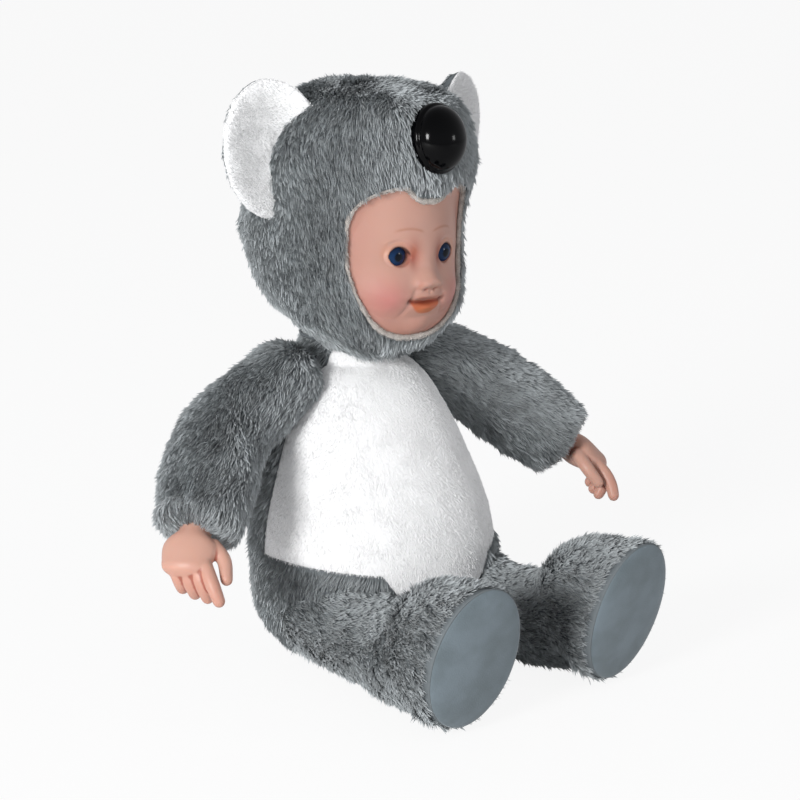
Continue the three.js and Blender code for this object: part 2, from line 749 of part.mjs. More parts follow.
function earSolid(side, face) {
  const lean = THREE.MathUtils.degToRad(EAR_TILT);
  const outline = (share, angle) => {
    const u = share * (EAR_WIDTH / 2) * Math.sin(angle);
    const v = share * (EAR_TALL / 2) * Math.cos(angle);
    const x = u * Math.cos(lean) + v * Math.sin(lean);
    const z = v * Math.cos(lean) - u * Math.sin(lean);
    return [side * x, z];
  };
  const inwardUp = (x, z) => (z / EAR_TALL - (side * x) / EAR_WIDTH) * EAR_CURL_RATE - EAR_CURL_START;
  const curl = (x, z) => EAR_CURL * Math.max(0, inwardUp(x, z)) ** 2;
  const middle = (x, z, share) => -EAR_CUP * share * share - curl(x, z);
  const puff = (share) => EAR_EDGE / 2 + (EAR_THICK / 2 - EAR_EDGE / 2) * Math.sqrt(1 - share ** 4);
  const outside = (x, z, share) => middle(x, z, share) - face * puff(share);
  const inside = (x, z, share) => middle(x, z, share) - face * (GAP / 2);
  const sweep = THREE.MathUtils.degToRad(EAR_SWEEP);
  const place = new THREE.Matrix4().makeTranslation(side * EAR_OUT, EAR_BACK, EAR_HEIGHT)
    .multiply(new THREE.Matrix4().makeRotationZ(side * sweep));
  return placed(plateOver({
    ...EAR_STEPS,
    outline,
    front: face > 0 ? outside : inside,
    back: face > 0 ? inside : outside,
  }), place);
}

function addHead() {
  const head = new THREE.Group();
  const lean = THREE.MathUtils.degToRad(HEAD_LEAN);
  const bow = THREE.MathUtils.degToRad(HEAD_BOW);
  const turn = new THREE.Matrix4().makeRotationY(lean)
    .multiply(new THREE.Matrix4().makeRotationX(bow));
  const toNeck = new THREE.Matrix4().makeTranslation(neck.x, neck.y, neck.z);
  const place = toNeck.clone().multiply(turn).multiply(toNeck.clone().invert());
  place.decompose(head.position, head.quaternion, head.scale);
  doll.add(head);

  const outer = standingRings(hood, 0, HOOD_STEPS);
  const inner = standingRings(hood, CLOTH, HOOD_INNER_STEPS);
  const neckHole = ball(neck, NECK_RADIUS + BALL_GAP, POCKET_SIDES + 2);
  const holeGrow = HEM_RADIUS + GAP;
  const opening = (grow) => prismXZ(
    hoodOpening(grow, HEM_STEPS.along),
    -FAR,
    -FACE_RIM_FRONT + 2,
  );
  const noseAt = noseFrame();
  const [dome, shank] = noseSolid();
  const shankHole = placed(bar(SHANK_RADIUS + GAP, -FAR / 4, 3, 16), noseAt);
  const shell = outer.subtract(inner).subtract(neckHole);
  addPiece('hood', shell.subtract(opening(holeGrow)).subtract(shankHole), PLUSH_GREY, head);

  const hemLine = hoodOpening(0, HEM_STEPS.along)
    .map(([x, z]) => new THREE.Vector3(x, -frontAt(hood, x, z) + CLOTH / 2, z));
  const hem = hoopOver(hemLine, HEM_RADIUS, HEM_STEPS.round).subtract(faceBlank(GAP));
  addPiece('face_hem', hem, HEM_CREAM, head);
  const maskRoom = standingRings(hood, CLOTH + GAP, HOOD_INNER_STEPS).add(opening(holeGrow - GAP));
  addPiece('face_mask', faceMask().intersect(maskRoom).subtract(neckHole), VINYL_SKIN, head);

  const washerTop = -CLOTH - WASHER_SEAT;
  const washer = bar(WASHER_RADIUS, washerTop - WASHER_THICK, washerTop, 20)
    .subtract(bar(SHANK_RADIUS + GAP, -FAR / 4, FAR / 4, 12));
  const washerRoom = bar(WASHER_RADIUS + GAP, washerTop - WASHER_THICK - 4, FAR / 4, 20);
  const front = block(
    new THREE.Vector3(-FAR, -FAR, -FAR),
    new THREE.Vector3(FAR, -FACE_RIM_FRONT + GAP, FACE_CENTRE + FACE_HEIGHT / 2 + FACE_RIM + GAP),
  );
  const fill = standingRings(hood, CLOTH + GAP, HOOD_INNER_STEPS)
    .subtract(neckHole)
    .subtract(front)
    .subtract(placed(washerRoom, noseAt));
  addPiece('head_fill', fill, FIBRE_WHITE, head);

  SIDES.forEach(([name, side]) => {
    const centre = eyeCentre(side);
    const backCut = block(
      new THREE.Vector3(-FAR, centre.y + EYE_RADIUS / 2, -FAR),
      new THREE.Vector3(FAR, FAR, FAR),
    );
    addPiece(`${name}_eye`, ball(centre, EYE_RADIUS, 14).subtract(backCut), EYE_BLUE, head);
  });

  const hoodRoom = standingRings(hood, -GAP, HOOD_STEPS);
  const noseDome = placed(dome, noseAt).subtract(hoodRoom);
  addPiece('nose', noseDome.add(placed(shank, noseAt)), GLOSS_BLACK, head);
  addPiece('nose_washer', placed(washer, noseAt), WASHER_PLASTIC, head);

  const earRoom = standingRings(hood, -EAR_GAP, HOOD_STEPS);
  SIDES.forEach(([name, side]) => {
    addPiece(`${name}_ear_front`, earSolid(side, 1).subtract(earRoom), PLUSH_WHITE, head);
    addPiece(`${name}_ear_back`, earSolid(side, -1).subtract(earRoom), PLUSH_GREY, head);
  });
}

// Hands

// Fingers from the first to the little one: the place across the palm, the share of the full
// length, and the angle that each curls through in degrees.
const FINGERS = [
  { across: -7.6, length: 1, curl: 52 },
  { across: -2.6, length: 1.06, curl: 74 },
  { across: 2.5, length: 1, curl: 86 },
  { across: 7.2, length: 0.84, curl: 92 },
];

function handSolid(side) {
  const inward = -side;
  const up = new THREE.Vector3(0, 1, 0);
  const palm = limbRings({
    path: new THREE.LineCurve3(new THREE.Vector3(0, 0, -1), new THREE.Vector3(0, 0, -PALM_LENGTH)),
    girth: [
      [0, WRIST_RADIUS, WRIST_RADIUS],
      [0.45, PALM_THICK / 2, PALM_WIDTH / 2],
      [1, PALM_THICK / 2 - 1.2, PALM_WIDTH / 2 - 0.6],
    ],
    up,
    startCap: 2,
    endCap: 3,
  }, 0, PALM_STEPS);
  const digit = (points, radius) => limbRings({
    path: new THREE.CatmullRomCurve3(points),
    girth: [[0, radius, radius], [0.6, radius * 0.94, radius * 0.94], [1, radius * 0.82, radius * 0.82]],
    up,
    startCap: radius,
    endCap: radius * 0.85,
  }, 0, FINGER_STEPS);
  let hand = palm;
  FINGERS.forEach(({ across, length, curl }) => {
    const bend = THREE.MathUtils.degToRad(curl);
    const radius = (FINGER_LENGTH * length) / bend;
    const points = [0, 1 / 3, 2 / 3, 1].map((share) => new THREE.Vector3(
      inward * radius * (1 - Math.cos(bend * share)),
      across,
      -PALM_LENGTH + 1 - radius * Math.sin(bend * share),
    ));
    hand = hand.add(digit(points, FINGER_RADIUS));
  });
  const thumbRoot = -PALM_LENGTH * 0.35;
  hand = hand.add(digit([
    new THREE.Vector3(inward, -PALM_WIDTH / 2 + 2, thumbRoot),
    new THREE.Vector3(inward * 3, -PALM_WIDTH / 2 - 2.5, thumbRoot - THUMB_LENGTH * 0.45),
    new THREE.Vector3(inward * 6, -PALM_WIDTH / 2 - 3.5, thumbRoot - THUMB_LENGTH),
  ], THUMB_RADIUS));
  const grooveRadius = WRIST_RADIUS - GROOVE_DEPTH;
  const groove = [WRIST_LENGTH / 2 - GROOVE_WIDTH / 2, WRIST_LENGTH / 2 + GROOVE_WIDTH / 2];
  const plug = new THREE.LatheGeometry([
    new THREE.Vector2(0, -4),
    new THREE.Vector2(WRIST_RADIUS, -4),
    new THREE.Vector2(WRIST_RADIUS, groove[0]),
    new THREE.Vector2(grooveRadius, groove[0]),
    new THREE.Vector2(grooveRadius, groove[1]),
    new THREE.Vector2(WRIST_RADIUS, groove[1]),
    new THREE.Vector2(WRIST_RADIUS, WRIST_LENGTH - WRIST_FLANGE_THICK),
    new THREE.Vector2(WRIST_FLANGE, WRIST_LENGTH - WRIST_FLANGE_THICK),
    new THREE.Vector2(WRIST_FLANGE, WRIST_LENGTH),
    new THREE.Vector2(0, WRIST_LENGTH),
  ], 14);
  plug.rotateX(Math.PI / 2);
  return hand.add(solidOf(plug));
}

// Arms

function addArm(name, side) {
  const form = armForm(side);
  const outer = limbRings(form, 0, LIMB_STEPS);
  const inner = limbRings(form, CLOTH, FILL_STEPS);
  const forward = form.path.getTangent(1);
  const mouth = form.path.getPoint(1).addScaledVector(forward, CUFF_CAP - CLOTH / 2);
  const down = new THREE.Vector3(0, 0, -1);
  const turn = new THREE.Quaternion().setFromUnitVectors(down, forward);
  const wrist = new THREE.Matrix4().compose(mouth, turn, new THREE.Vector3(1, 1, 1));
  const roll = new THREE.Matrix4().makeRotationZ(-side * THREE.MathUtils.degToRad(HAND_TURN));
  const mouthHole = placed(bar(WRIST_RADIUS + GAP, -CUFF_CAP, CUFF_CAP, 20), wrist);
  addPiece(`${name}_sleeve`, outer.subtract(inner).subtract(mouthHole), PLUSH_GREY);

  const plugRoom = placed(bar(WRIST_FLANGE + GAP, -CUFF_CAP, WRIST_LENGTH + GAP, 20), wrist);
  const fill = limbRings(form, CLOTH + GAP, FILL_STEPS).subtract(plugRoom);
  addPiece(`${name}_arm_fill`, fill, FIBRE_WHITE);

  addPiece(`${name}_hand`, placed(handSolid(side), wrist.clone().multiply(roll)), VINYL_SKIN);
  const tieRadius = WRIST_RADIUS - GROOVE_DEPTH + GAP + TIE_RADIUS;
  const tieLine = Array.from({ length: RING_STEPS }, (_, i) => {
    const angle = (i / RING_STEPS) * 2 * Math.PI;
    return new THREE.Vector3(tieRadius * Math.cos(angle), tieRadius * Math.sin(angle), WRIST_LENGTH / 2);
  });
  addPiece(`${name}_wrist_tie`, placed(hoopOver(tieLine, TIE_RADIUS, 4), wrist), TIE_WHITE);

  const inwards = new THREE.Vector3(-side, 0, 0);
  const ring = stitchRing(mirrored(SHOULDER, side), SHOULDER_RADIUS, inwards, 0.6);
  addPiece(`${name}_shoulder_stitching`, ring, THREAD_GREY);
}

// Legs

function addLeg(name, side) {
  const form = legForm(side);
  const outer = limbRings(form, 0, { ...LIMB_STEPS, rings: 10 });
  const inner = limbRings(form, CLOTH, FILL_STEPS);
  const shell = outer.subtract(inner).subtract(FLOOR);
  const end = form.path.getPoint(1);
  const turn = new THREE.Quaternion().setFromUnitVectors(new THREE.Vector3(0, -1, 0), form.endFace);
  const footFrame = new THREE.Matrix4().compose(end, turn, new THREE.Vector3(1, 1, 1));
  const sole = (grow) => placed(prismXZ(
    ellipseXZ(FOOT_WIDTH / 2 - SOLE_BORDER + grow, FOOT_HEIGHT / 2 - SOLE_BORDER + grow, 0, 24),
    -FAR / 4,
    0,
  ), footFrame);
  addPiece(`${name}_leg_cover`, shell.subtract(sole(GAP)), PLUSH_GREY);
  addPiece(`${name}_sole`, shell.intersect(sole(0)), SUEDE_GREY);
  const floorCut = block(
    new THREE.Vector3(-FAR, -FAR, -FAR),
    new THREE.Vector3(FAR, FAR, CLOTH - SEAT_FLAT + GAP),
  );
  const fill = limbRings(form, CLOTH + GAP, FILL_STEPS).subtract(floorCut);
  addPiece(`${name}_leg_fill`, fill, FIBRE_WHITE);
  const backwards = new THREE.Vector3(0, 1, 0);
  const ring = stitchRing(mirrored(HIP, side), HIP_RADIUS, backwards, 0.75);
  addPiece(`${name}_hip_stitching`, ring, THREAD_GREY);
}

addTorso();
addPiece('neck_stitching', stitchRing(neck, NECK_RADIUS, new THREE.Vector3(0, 0, 1), 0.8), THREAD_GREY);
addHead();
SIDES.forEach(([name, side]) => {
  addArm(name, side);
  addLeg(name, side);
});

export default doll;
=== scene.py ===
"""Looks of a seated baby doll in a hooded plush suit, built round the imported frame.

Every form is worked out in millimetres from the same formulas as the solids, and
turned into metres where its mesh is made. The doll faces -Y, and its own left is +X.
"""

import json
import logging
import math
from dataclasses import dataclass, replace
from enum import Enum
from functools import partial
from typing import Any, Callable, Sequence

import bmesh
import bpy
import numpy as np
from mathutils import Matrix, Vector
from mathutils.kdtree import KDTree

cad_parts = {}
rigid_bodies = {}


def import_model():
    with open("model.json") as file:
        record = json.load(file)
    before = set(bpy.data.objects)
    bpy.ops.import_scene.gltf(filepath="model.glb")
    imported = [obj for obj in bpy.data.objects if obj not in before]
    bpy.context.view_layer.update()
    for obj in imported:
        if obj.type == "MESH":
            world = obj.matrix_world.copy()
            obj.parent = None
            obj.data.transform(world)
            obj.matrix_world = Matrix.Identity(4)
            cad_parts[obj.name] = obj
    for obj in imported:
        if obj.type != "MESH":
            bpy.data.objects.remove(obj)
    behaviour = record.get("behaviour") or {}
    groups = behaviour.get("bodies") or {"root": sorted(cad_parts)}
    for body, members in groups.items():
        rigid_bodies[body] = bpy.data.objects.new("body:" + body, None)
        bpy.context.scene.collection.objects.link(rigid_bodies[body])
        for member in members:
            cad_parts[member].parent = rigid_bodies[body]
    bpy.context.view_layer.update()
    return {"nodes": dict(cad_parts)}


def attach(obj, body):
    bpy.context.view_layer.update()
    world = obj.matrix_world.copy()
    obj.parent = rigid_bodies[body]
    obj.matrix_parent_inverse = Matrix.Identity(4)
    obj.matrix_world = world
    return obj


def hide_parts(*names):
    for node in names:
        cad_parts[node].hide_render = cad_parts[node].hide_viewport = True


LOG = logging.getLogger("baby_doll")
MM = 0.001
FAR = 300.0

Point = tuple[float, float, float]
Rows = np.ndarray
Field = Callable[[Rows], Rows]
Test = Callable[[Rows, Rows], Rows]
Outline = Callable[[Rows, Rows], tuple[Rows, Rows]]
Piece = bpy.types.Object
Material = bpy.types.Material
Rings = tuple[list[Rows], Rows, Rows]
MeshData = tuple[Rows, list[list[int]]]


class Side(Enum):
    """The doll's own left and right, as the sign of X."""

    LEFT = 1
    RIGHT = -1

    @property
    def word(self) -> str:
        """The side's name as the frame's nodes spell it."""
        return self.name.lower()


class Cut(Enum):
    """How one closed shape changes another, as the modifier spells it."""

    LESS = "DIFFERENCE"
    SHARED = "INTERSECT"
    JOINED = "UNION"


def srgb(code: str) -> tuple[float, float, float, float]:
    """Turn a hex colour into the linear colour that a shader reads.

    Args:
        code: the colour as six hex digits.

    Returns:
        Linear red, green, blue and full alpha.
    """
    parts = [int(code[i : i + 2], 16) / 255 for i in (0, 2, 4)]
    linear = [p / 12.92 if p <= 0.04045 else ((p + 0.055) / 1.055) ** 2.4 for p in parts]
    return (*linear, 1.0)


def bell(offset: Rows) -> Rows:
    """Return a smooth bump of height 1 that dies away over a unit offset."""
    return np.exp(-(offset**2))


def smooth(low: float, high: float, value: Rows) -> Rows:
    """Return 0 below one value, 1 above another, with a smooth step between."""
    share = np.clip((value - low) / (high - low), 0, 1)
    return share * share * (3 - 2 * share)


# Curves and forms


class Curve:
    """A centripetal curve through points, the same as the solids use."""

    def __init__(self, points: Sequence[Sequence[float]]):
        """Take the points that the curve runs through."""
        self.points = np.array(points, float)

    def at(self, share: float) -> Rows:
        """Return the point at a share of the curve."""
        count = len(self.points)
        place = (count - 1) * share
        step = min(int(math.floor(place)), count - 2)
        weight = place - step
        ends = [2 * self.points[0] - self.points[1], *self.points, 2 * self.points[-1] - self.points[-2]]
        p0, p1, p2, p3 = ends[step : step + 4]
        gaps = [max(float(np.linalg.norm(b - a)) ** 0.5, 1e-4) for a, b in ((p0, p1), (p1, p2), (p2, p3))]
        d0, d1, d2 = gaps
        t1 = ((p1 - p0) / d0 - (p2 - p0) / (d0 + d1) + (p2 - p1) / d1) * d1
        t2 = ((p2 - p1) / d1 - (p3 - p1) / (d1 + d2) + (p3 - p2) / d2) * d1
        c2 = -3 * p1 + 3 * p2 - 2 * t1 - t2
        c3 = 2 * p1 - 2 * p2 + t1 + t2
        return p1 + t1 * weight + c2 * weight**2 + c3 * weight**3

    def tangent(self, share: float) -> Rows:
        """Return the unit direction of the curve at a share of it."""
        reach = 1e-3
        run = self.at(min(share + reach, 1)) - self.at(max(share - reach, 0))
        return run / np.linalg.norm(run)

    def fine(self, steps: int) -> Rows:
        """Return points at even shares of the curve."""
        return np.array([self.at(k / steps) for k in range(steps + 1)])

    def spaced(self, steps: int) -> Rows:
        """Return points at even distances along the curve."""
        fine = self.fine(400)
        runs = np.r_[0, np.cumsum(np.linalg.norm(np.diff(fine, axis=0), axis=1))]
        wanted = np.linspace(0, runs[-1], steps + 1)
        return np.stack([np.interp(wanted, runs, fine[:, k]) for k in range(fine.shape[1])], 1)


@dataclass(frozen=True)
class Standing:
    """A stuffed form of oval rings stacked on one another."""

    width: float
    depth: float
    height: float
    base: float
    profile: tuple[Point, ...]

    def rings(self, inset: float, count: int, segments: int) -> Rings:
        """Return the form's rings and its two poles.

        Args:
            inset: how far inside the form's outside the rings lie.
            count: number of rings.
            segments: points in each ring.

        Returns:
            The rings, the lowest point and the highest point.
        """
        stops = Curve(self.profile).spaced(count + 1)
        angles = np.arange(segments) / segments * 2 * np.pi

        def ring(stop: Rows, angle: Rows) -> Rows:
            """Return the ring's points at one stop of the profile."""
            x = (self.width / 2 - inset) * stop[0] * np.sin(angle)
            y = -self.depth * stop[1] - (self.depth / 2 - inset) * stop[0] * np.cos(angle)
            z = np.full_like(angle, self.base + inset + (self.height - 2 * inset) * stop[2])
            return np.stack([x, y, z], 1)

        loops = [ring(stop, angles) for stop in stops[1:-1]]
        pole = np.zeros(1)
        return loops, ring(stops[0], pole)[0], ring(stops[-1], pole)[0]

    def front(self, x: Rows, z: Rows) -> Rows:
        """Return how far forward the outside lies at places seen from the front.

        Args:
            x: places across.
            z: places up, as many.

        Returns:
            One distance towards -Y for each place.
        """
        fine = Curve(self.profile).fine(300)
        share = (np.asarray(z, float) - self.base) / self.height
        wide = np.interp(share, fine[:, 2], fine[:, 0])
        shift = np.interp(share, fine[:, 2], fine[:, 1])
        across = np.clip(np.abs(x) / np.maximum(wide * self.width / 2, 1e-6), 0, 1)
        return self.depth * shift + self.depth / 2 * wide * np.sqrt(1 - across**2)


@dataclass(frozen=True)
class Limb:
    """A stuffed form of oval rings along a line, with a round start and a domed end."""

    points: tuple[Point, ...]
    girth: tuple[Point, ...]
    up: Point
    start_cap: float
    end_cap: float
    end_face: Point | None = None

    def facing(self, share: float) -> Rows:
        """Return which way the form runs at a share of its line."""
        run = Curve(self.points).tangent(share)
        if self.end_face is None:
            return run
        turn = float(smooth(0.6, 1, np.array(share)))
        run = run * (1 - turn) + np.array(self.end_face) * turn
        return run / np.linalg.norm(run)

    def rings(self, inset: float, count: int, segments: int, cap: int) -> Rings:
        """Return the form's rings and its two poles.

        Args:
            inset: how far inside the form's outside the rings lie.
            count: number of rings along the line.
            segments: points in each ring.
            cap: rings over each rounded end.

        Returns:
            The rings, the first pole and the last pole.
        """
        line = Curve(self.points)
        rows = Curve(self.girth)
        angles = np.arange(segments) / segments * 2 * np.pi

        def ring(share: float, across: float, tall: float, push: float, squeeze: float) -> Rows:
            """Return the ring's points at a share of the line, pushed along it and squeezed."""
            run = self.facing(share)
            side = np.cross(self.up, run)
            side /= np.linalg.norm(side)
            top = np.cross(run, side)
            centre = line.at(share) + run * push
            wide = (across - inset) * squeeze * np.cos(angles)
            high = (tall - inset) * squeeze * np.sin(angles)
            return centre + wide[:, None] * side + high[:, None] * top

        first, last = self.girth[0], self.girth[-1]
        loops = []
        for k in range(1, cap):
            angle = (1 - k / cap) * math.pi / 2
            push = -(self.start_cap - inset) * math.sin(angle)
            loops.append(ring(0, first[1], first[2], push, math.cos(angle)))
        for k in range(count + 1):
            row = rows.at(k / count)
            loops.append(ring(min(max(float(row[0]), 0), 1), row[1], row[2], 0, 1))
        for k in range(1, cap):
            angle = k / cap * math.pi / 2
            loops.append(ring(1, last[1], last[2], (self.end_cap - inset) * math.sin(angle), math.cos(angle)))
        start = line.at(0) - line.tangent(0) * (self.start_cap - inset)
        end = line.at(1) + self.facing(1) * (self.end_cap - inset)
        return loops, start, end


def share_in_standing(form: Standing, points: Rows, inset: float = 0) -> Rows:
    """Return how far out points lie in a standing form: 1 on its skin at an inset.

    Args:
        form: the form.
        points: one row for each point.
        inset: how far inside the form 1 is reached.

    Returns:
        One share for each point, and 9 above or below the form.
    """
    fine = Curve(form.profile).fine(300)
    level = (points[:, 2] - form.base - inset) / (form.height - 2 * inset)
    wide = np.maximum(np.interp(level, fine[:, 2], fine[:, 0]), 1e-3)
    shift = np.interp(level, fine[:, 2], fine[:, 1])
    across = points[:, 0] / ((form.width / 2 - inset) * wide)
    along = (points[:, 1] + form.depth * shift) / ((form.depth / 2 - inset) * wide)
    share = np.hypot(across, along)
    return np.where((level < 0) | (level > 1), 9.0, share)


def share_in_limb(form: Limb, points: Rows) -> Rows:
    """Return how far out points lie in a limb: 1 on its outside.

    Args:
        form: the limb.
        points: one row for each point.

    Returns:
        One share for each point.
    """
    rows = Curve(form.girth)
    line = Curve(form.points)
    girth = rows.fine(80)
    places = np.array([line.at(min(max(float(row[0]), 0), 1)) for row in girth])
    gap = np.linalg.norm(points[:, None] - places[None], axis=2)
    radius = (girth[:, 1] + girth[:, 2]) / 2
    return (gap / radius[None]).min(1)


TORSO = Standing(
    width=110,
    depth=97,
    height=131.6,
    base=-1.6,
    profile=(
        (0, 0.12, 0),
        (0.42, 0.12, 0.004),
        (0.73, 0.13, 0.035),
        (0.94, 0.15, 0.15),
        (1, 0.16, 0.3),
        (0.97, 0.14, 0.46),
        (0.86, 0.1, 0.62),
        (0.74, 0.05, 0.77),
        (0.56, 0.01, 0.9),
        (0.3, -0.01, 0.97),
        (0, -0.01, 1),
    ),
)
HOOD = Standing(
    width=94,
    depth=96,
    height=110,
    base=125,
    profile=(
        (0, 0.11, 0),
        (0.31, 0.11, 0.01),
        (0.55, 0.11, 0.075),
        (0.855, 0.04, 0.21),
        (0.95, -0.04, 0.4),
        (0.95, -0.04, 0.56),
        (0.97, -0.01, 0.71),
        (0.85, 0.03, 0.85),
        (0.665, 0.07, 0.95),
        (0.31, 0.07, 0.992),
        (0, 0.07, 1),
    ),
)
NECK = np.array([0.0, 2.0, 116.0])
NECK_RADIUS = 23.0
HEAD_LEAN = math.radians(3)
HEAD_BOW = math.radians(2)
SHOULDER = (39.0, -2.0, 113.0)
HIP = (28.0, -24.0, 25.0)
SHOULDER_RADIUS = 16.0
HIP_RADIUS = 25.0
SOLE_TIP = math.radians(14)
SOLE_SPLAY = math.radians(4)
FOOT_WIDTH = 47.0
FOOT_HEIGHT = 66.0

FACE_CENTRE = 167.5
FACE_WIDTH = 60.0
FACE_HEIGHT = 62.0
FACE_WIDEST = 8.5
FACE_CORNER = 3.2
FACE_JAW = 2.5
FACE_SINK = -1.4
FACE_RIM_SINK = 6.0
FACE_JAW_SINK = 0.17
FACE_RIM = 4.0
FACE_RIM_FRONT = 17.0
LOBE_DROP = 6.5
LOBE_HALF = 9.5
HEM_SINK = 3.8
EYE_X = 11.9
EYE_Z = 170.0
EYE_RADIUS = 6.2
EYE_PROUD = 1.2
MOUTH_Z = EYE_Z - 19
NOSE_Z = EYE_Z - 9


def mirrored(point: Sequence[float], side: Side) -> Point:
    """Return a point given for the left side on the side asked for."""
    return (side.value * point[0], point[1], point[2])


def arm_form(side: Side) -> Limb:
    """Return the form of an arm."""
    points = (SHOULDER, (69, -5, 97), (95, -23.5, 75))
    return Limb(
        points=tuple(mirrored(p, side) for p in points),
        girth=((0, 16, 16), (0.3, 18.5, 18.5), (0.7, 20.5, 20.5), (1, 18.8, 18.8)),
        up=(0, 1, 0),
        start_cap=SHOULDER_RADIUS,
        end_cap=9,
    )


def leg_form(side: Side) -> Limb:
    """Return the form of a leg."""
    points = (HIP, (33, -58, 20), (37, -84, 21.5), (40, -103, 30), (41, -121, 33))
    face = (
        side.value * math.sin(SOLE_SPLAY) * math.cos(SOLE_TIP),
        -math.cos(SOLE_SPLAY) * math.cos(SOLE_TIP),
        -math.sin(SOLE_TIP),
    )
    return Limb(
        points=tuple(mirrored(p, side) for p in points),
        girth=(
            (0, 25, 25),
            (0.15, 21.5, 21.5),
            (0.3, 19.5, 19.5),
            (0.52, 20, 21.5),
            (0.75, 23, 30),
            (1, FOOT_WIDTH / 2, FOOT_HEIGHT / 2),
        ),
        up=(0, 0, 1),
        start_cap=HIP_RADIUS,
        end_cap=6,
        end_face=face,
    )


def head_place() -> Matrix:
    """Return the matrix, in millimetres, that leans and bows the head at the neck."""
    turn = Matrix.Rotation(HEAD_LEAN, 4, "Y") @ Matrix.Rotation(HEAD_BOW, 4, "X")
    there = Matrix.Translation(Vector(NECK))
    return there @ turn @ there.inverted()


HEAD = head_place()


def put(points: Rows, matrix: Matrix) -> Rows:
    """Return points moved by a matrix."""
    grid = np.array(matrix)
    return points @ grid[:3, :3].T + grid[:3, 3]


# Meshes


def mesh_piece(name: str, points: Rows, faces: Sequence[Sequence[int]], flat: bool = False) -> Piece:
    """Make an object from points in millimetres.

    Args:
        name: the object's name.
        points: one row of X, Y and Z for each point.
        faces: the corners of each face.
        flat: whether the faces are shaded flat.

    Returns:
        The new object, with its faces turned outwards.
    """
    mesh = bpy.data.meshes.new(name)
    mesh.from_pydata((np.asarray(points) * MM).tolist(), [], [list(map(int, f)) for f in faces])
    work = bmesh.new()
    work.from_mesh(mesh)
    bmesh.ops.recalc_face_normals(work, faces=work.faces)
    work.to_mesh(mesh)
    work.free()
    for face in mesh.polygons:
        face.use_smooth = not flat
    piece = bpy.data.objects.new(name, mesh)
    bpy.context.scene.collection.objects.link(piece)
    return piece


def skin_data(loops: list[Rows], first: Rows, last: Rows) -> MeshData:
    """Return the points and faces of a closed skin over rings with a pole at each end.

    Args:
        loops: the rings, with the same number of points in each.
        first: the pole before them.
        last: the pole after them.

    Returns:
        The points, poles last, and the faces.
    """
    count = len(loops[0])
    points = np.vstack([*loops, first, last])
    faces = []
    for k in range(len(loops) - 1):
        for i in range(count):
            j = (i + 1) % count
            faces.append([k * count + i, k * count + j, (k + 1) * count + j, (k + 1) * count + i])
    low, high = len(points) - 2, len(points) - 1
    end = (len(loops) - 1) * count
    for i in range(count):
        j = (i + 1) % count
        faces.append([low, j, i])
        faces.append([high, end + i, end + j])
    return points, faces


def skin_piece(name: str, loops: list[Rows], first: Rows, last: Rows) -> Piece:
    """Make a closed skin over rings."""
    points, faces = skin_data(loops, first, last)
    return mesh_piece(name, points, faces)


def ball_piece(name: str, centre: Sequence[float], radius: float, steps: int = 32) -> Piece:
    """Make a ball.

    Args:
        name: the object's name.
        centre: its middle.
        radius: its radius.
        steps: faces round it.

    Returns:
        The new object.
    """
    mesh = bpy.data.meshes.new(name)
    work = bmesh.new()
    bmesh.ops.create_uvsphere(work, u_segments=steps, v_segments=steps // 2, radius=radius * MM)
    work.to_mesh(mesh)
    work.free()
    mesh.transform(Matrix.Translation(Vector(centre) * MM))
    for face in mesh.polygons:
        face.use_smooth = True
    piece = bpy.data.objects.new(name, mesh)
    bpy.context.scene.collection.objects.link(piece)
    return piece


def prism_piece(name: str, outline: Sequence[tuple[float, float]], from_y: float, to_y: float) -> Piece:
    """Make a closed shape drawn in the XZ plane and pulled from one Y to another.

    Args:
        name: the object's name.
        outline: X and Z of each corner.
        from_y: where it starts.
        to_y: where it ends.

    Returns:
        The new object.
    """
    count = len(outline)
    points = [(x, y, z) for y in (from_y, to_y) for x, z in outline]
    faces = [list(range(count)), list(range(2 * count - 1, count - 1, -1))]
    faces += [[i, (i + 1) % count, count + (i + 1) % count, count + i] for i in range(count)]
    return mesh_piece(name, np.array(points, float), faces, flat=True)


def duplicate(piece: Piece, name: str) -> Piece:
    """Return a copy of a piece with its own mesh."""
    twin = piece.copy()
    twin.data = piece.data.copy()
    twin.name = name
    bpy.context.scene.collection.objects.link(twin)
    return twin


def block_piece(name: str, low: Point, high: Point) -> Piece:
    """Make a block between two corners."""
    points = [(x, y, z) for x in (low[0], high[0]) for y in (low[1], high[1]) for z in (low[2], high[2])]
    faces = [[0, 1, 3, 2], [4, 6, 7, 5], [0, 4, 5, 1], [2, 3, 7, 6], [0, 2, 6, 4], [1, 5, 7, 3]]
    return mesh_piece(name, np.array(points, float), faces, flat=True)


def moved(piece: Piece, *steps: Matrix) -> Piece:
    """Move a piece's mesh by matrices in millimetres, the last of them first."""
    scale = Matrix.Scale(MM, 4)
    total = scale.copy()
    for step in steps:
        total = total @ step
    piece.data.transform(total @ scale.inverted())
    return piece


def faces_away(line: Rows, middles: Rows, normals: Rows) -> Rows:
    """Return which faces look away from the nearest point of a line."""
    gap = np.linalg.norm(middles[:, None] - line[None], axis=2)
    return np.einsum("ij,ij->i", middles - line[gap.argmin(1)], normals) > 0


def flow_over(nap: Point, normals: Rows) -> Rows:
    """Return which way a nap runs over faces, as unit vectors in their planes."""
    flow = np.array(nap) - normals * (normals @ np.array(nap))[:, None]
    return flow / np.linalg.norm(flow, axis=1)[:, None]


class Spray:
    """Sprayed colour and painted shade at the points of a piece, one coat over another."""

    def __init__(self, code: str, count: int):
        """Start with one colour on a number of points."""
        self.colour = np.tile(srgb(code)[:3], (count, 1))

    def coat(self, code: str, share: Rows) -> None:
        """Spray a colour over the last, by a share for each point."""
        share = np.clip(share, 0, 1)[:, None]
        self.colour = self.colour * (1 - share) + np.array(srgb(code)[:3]) * share


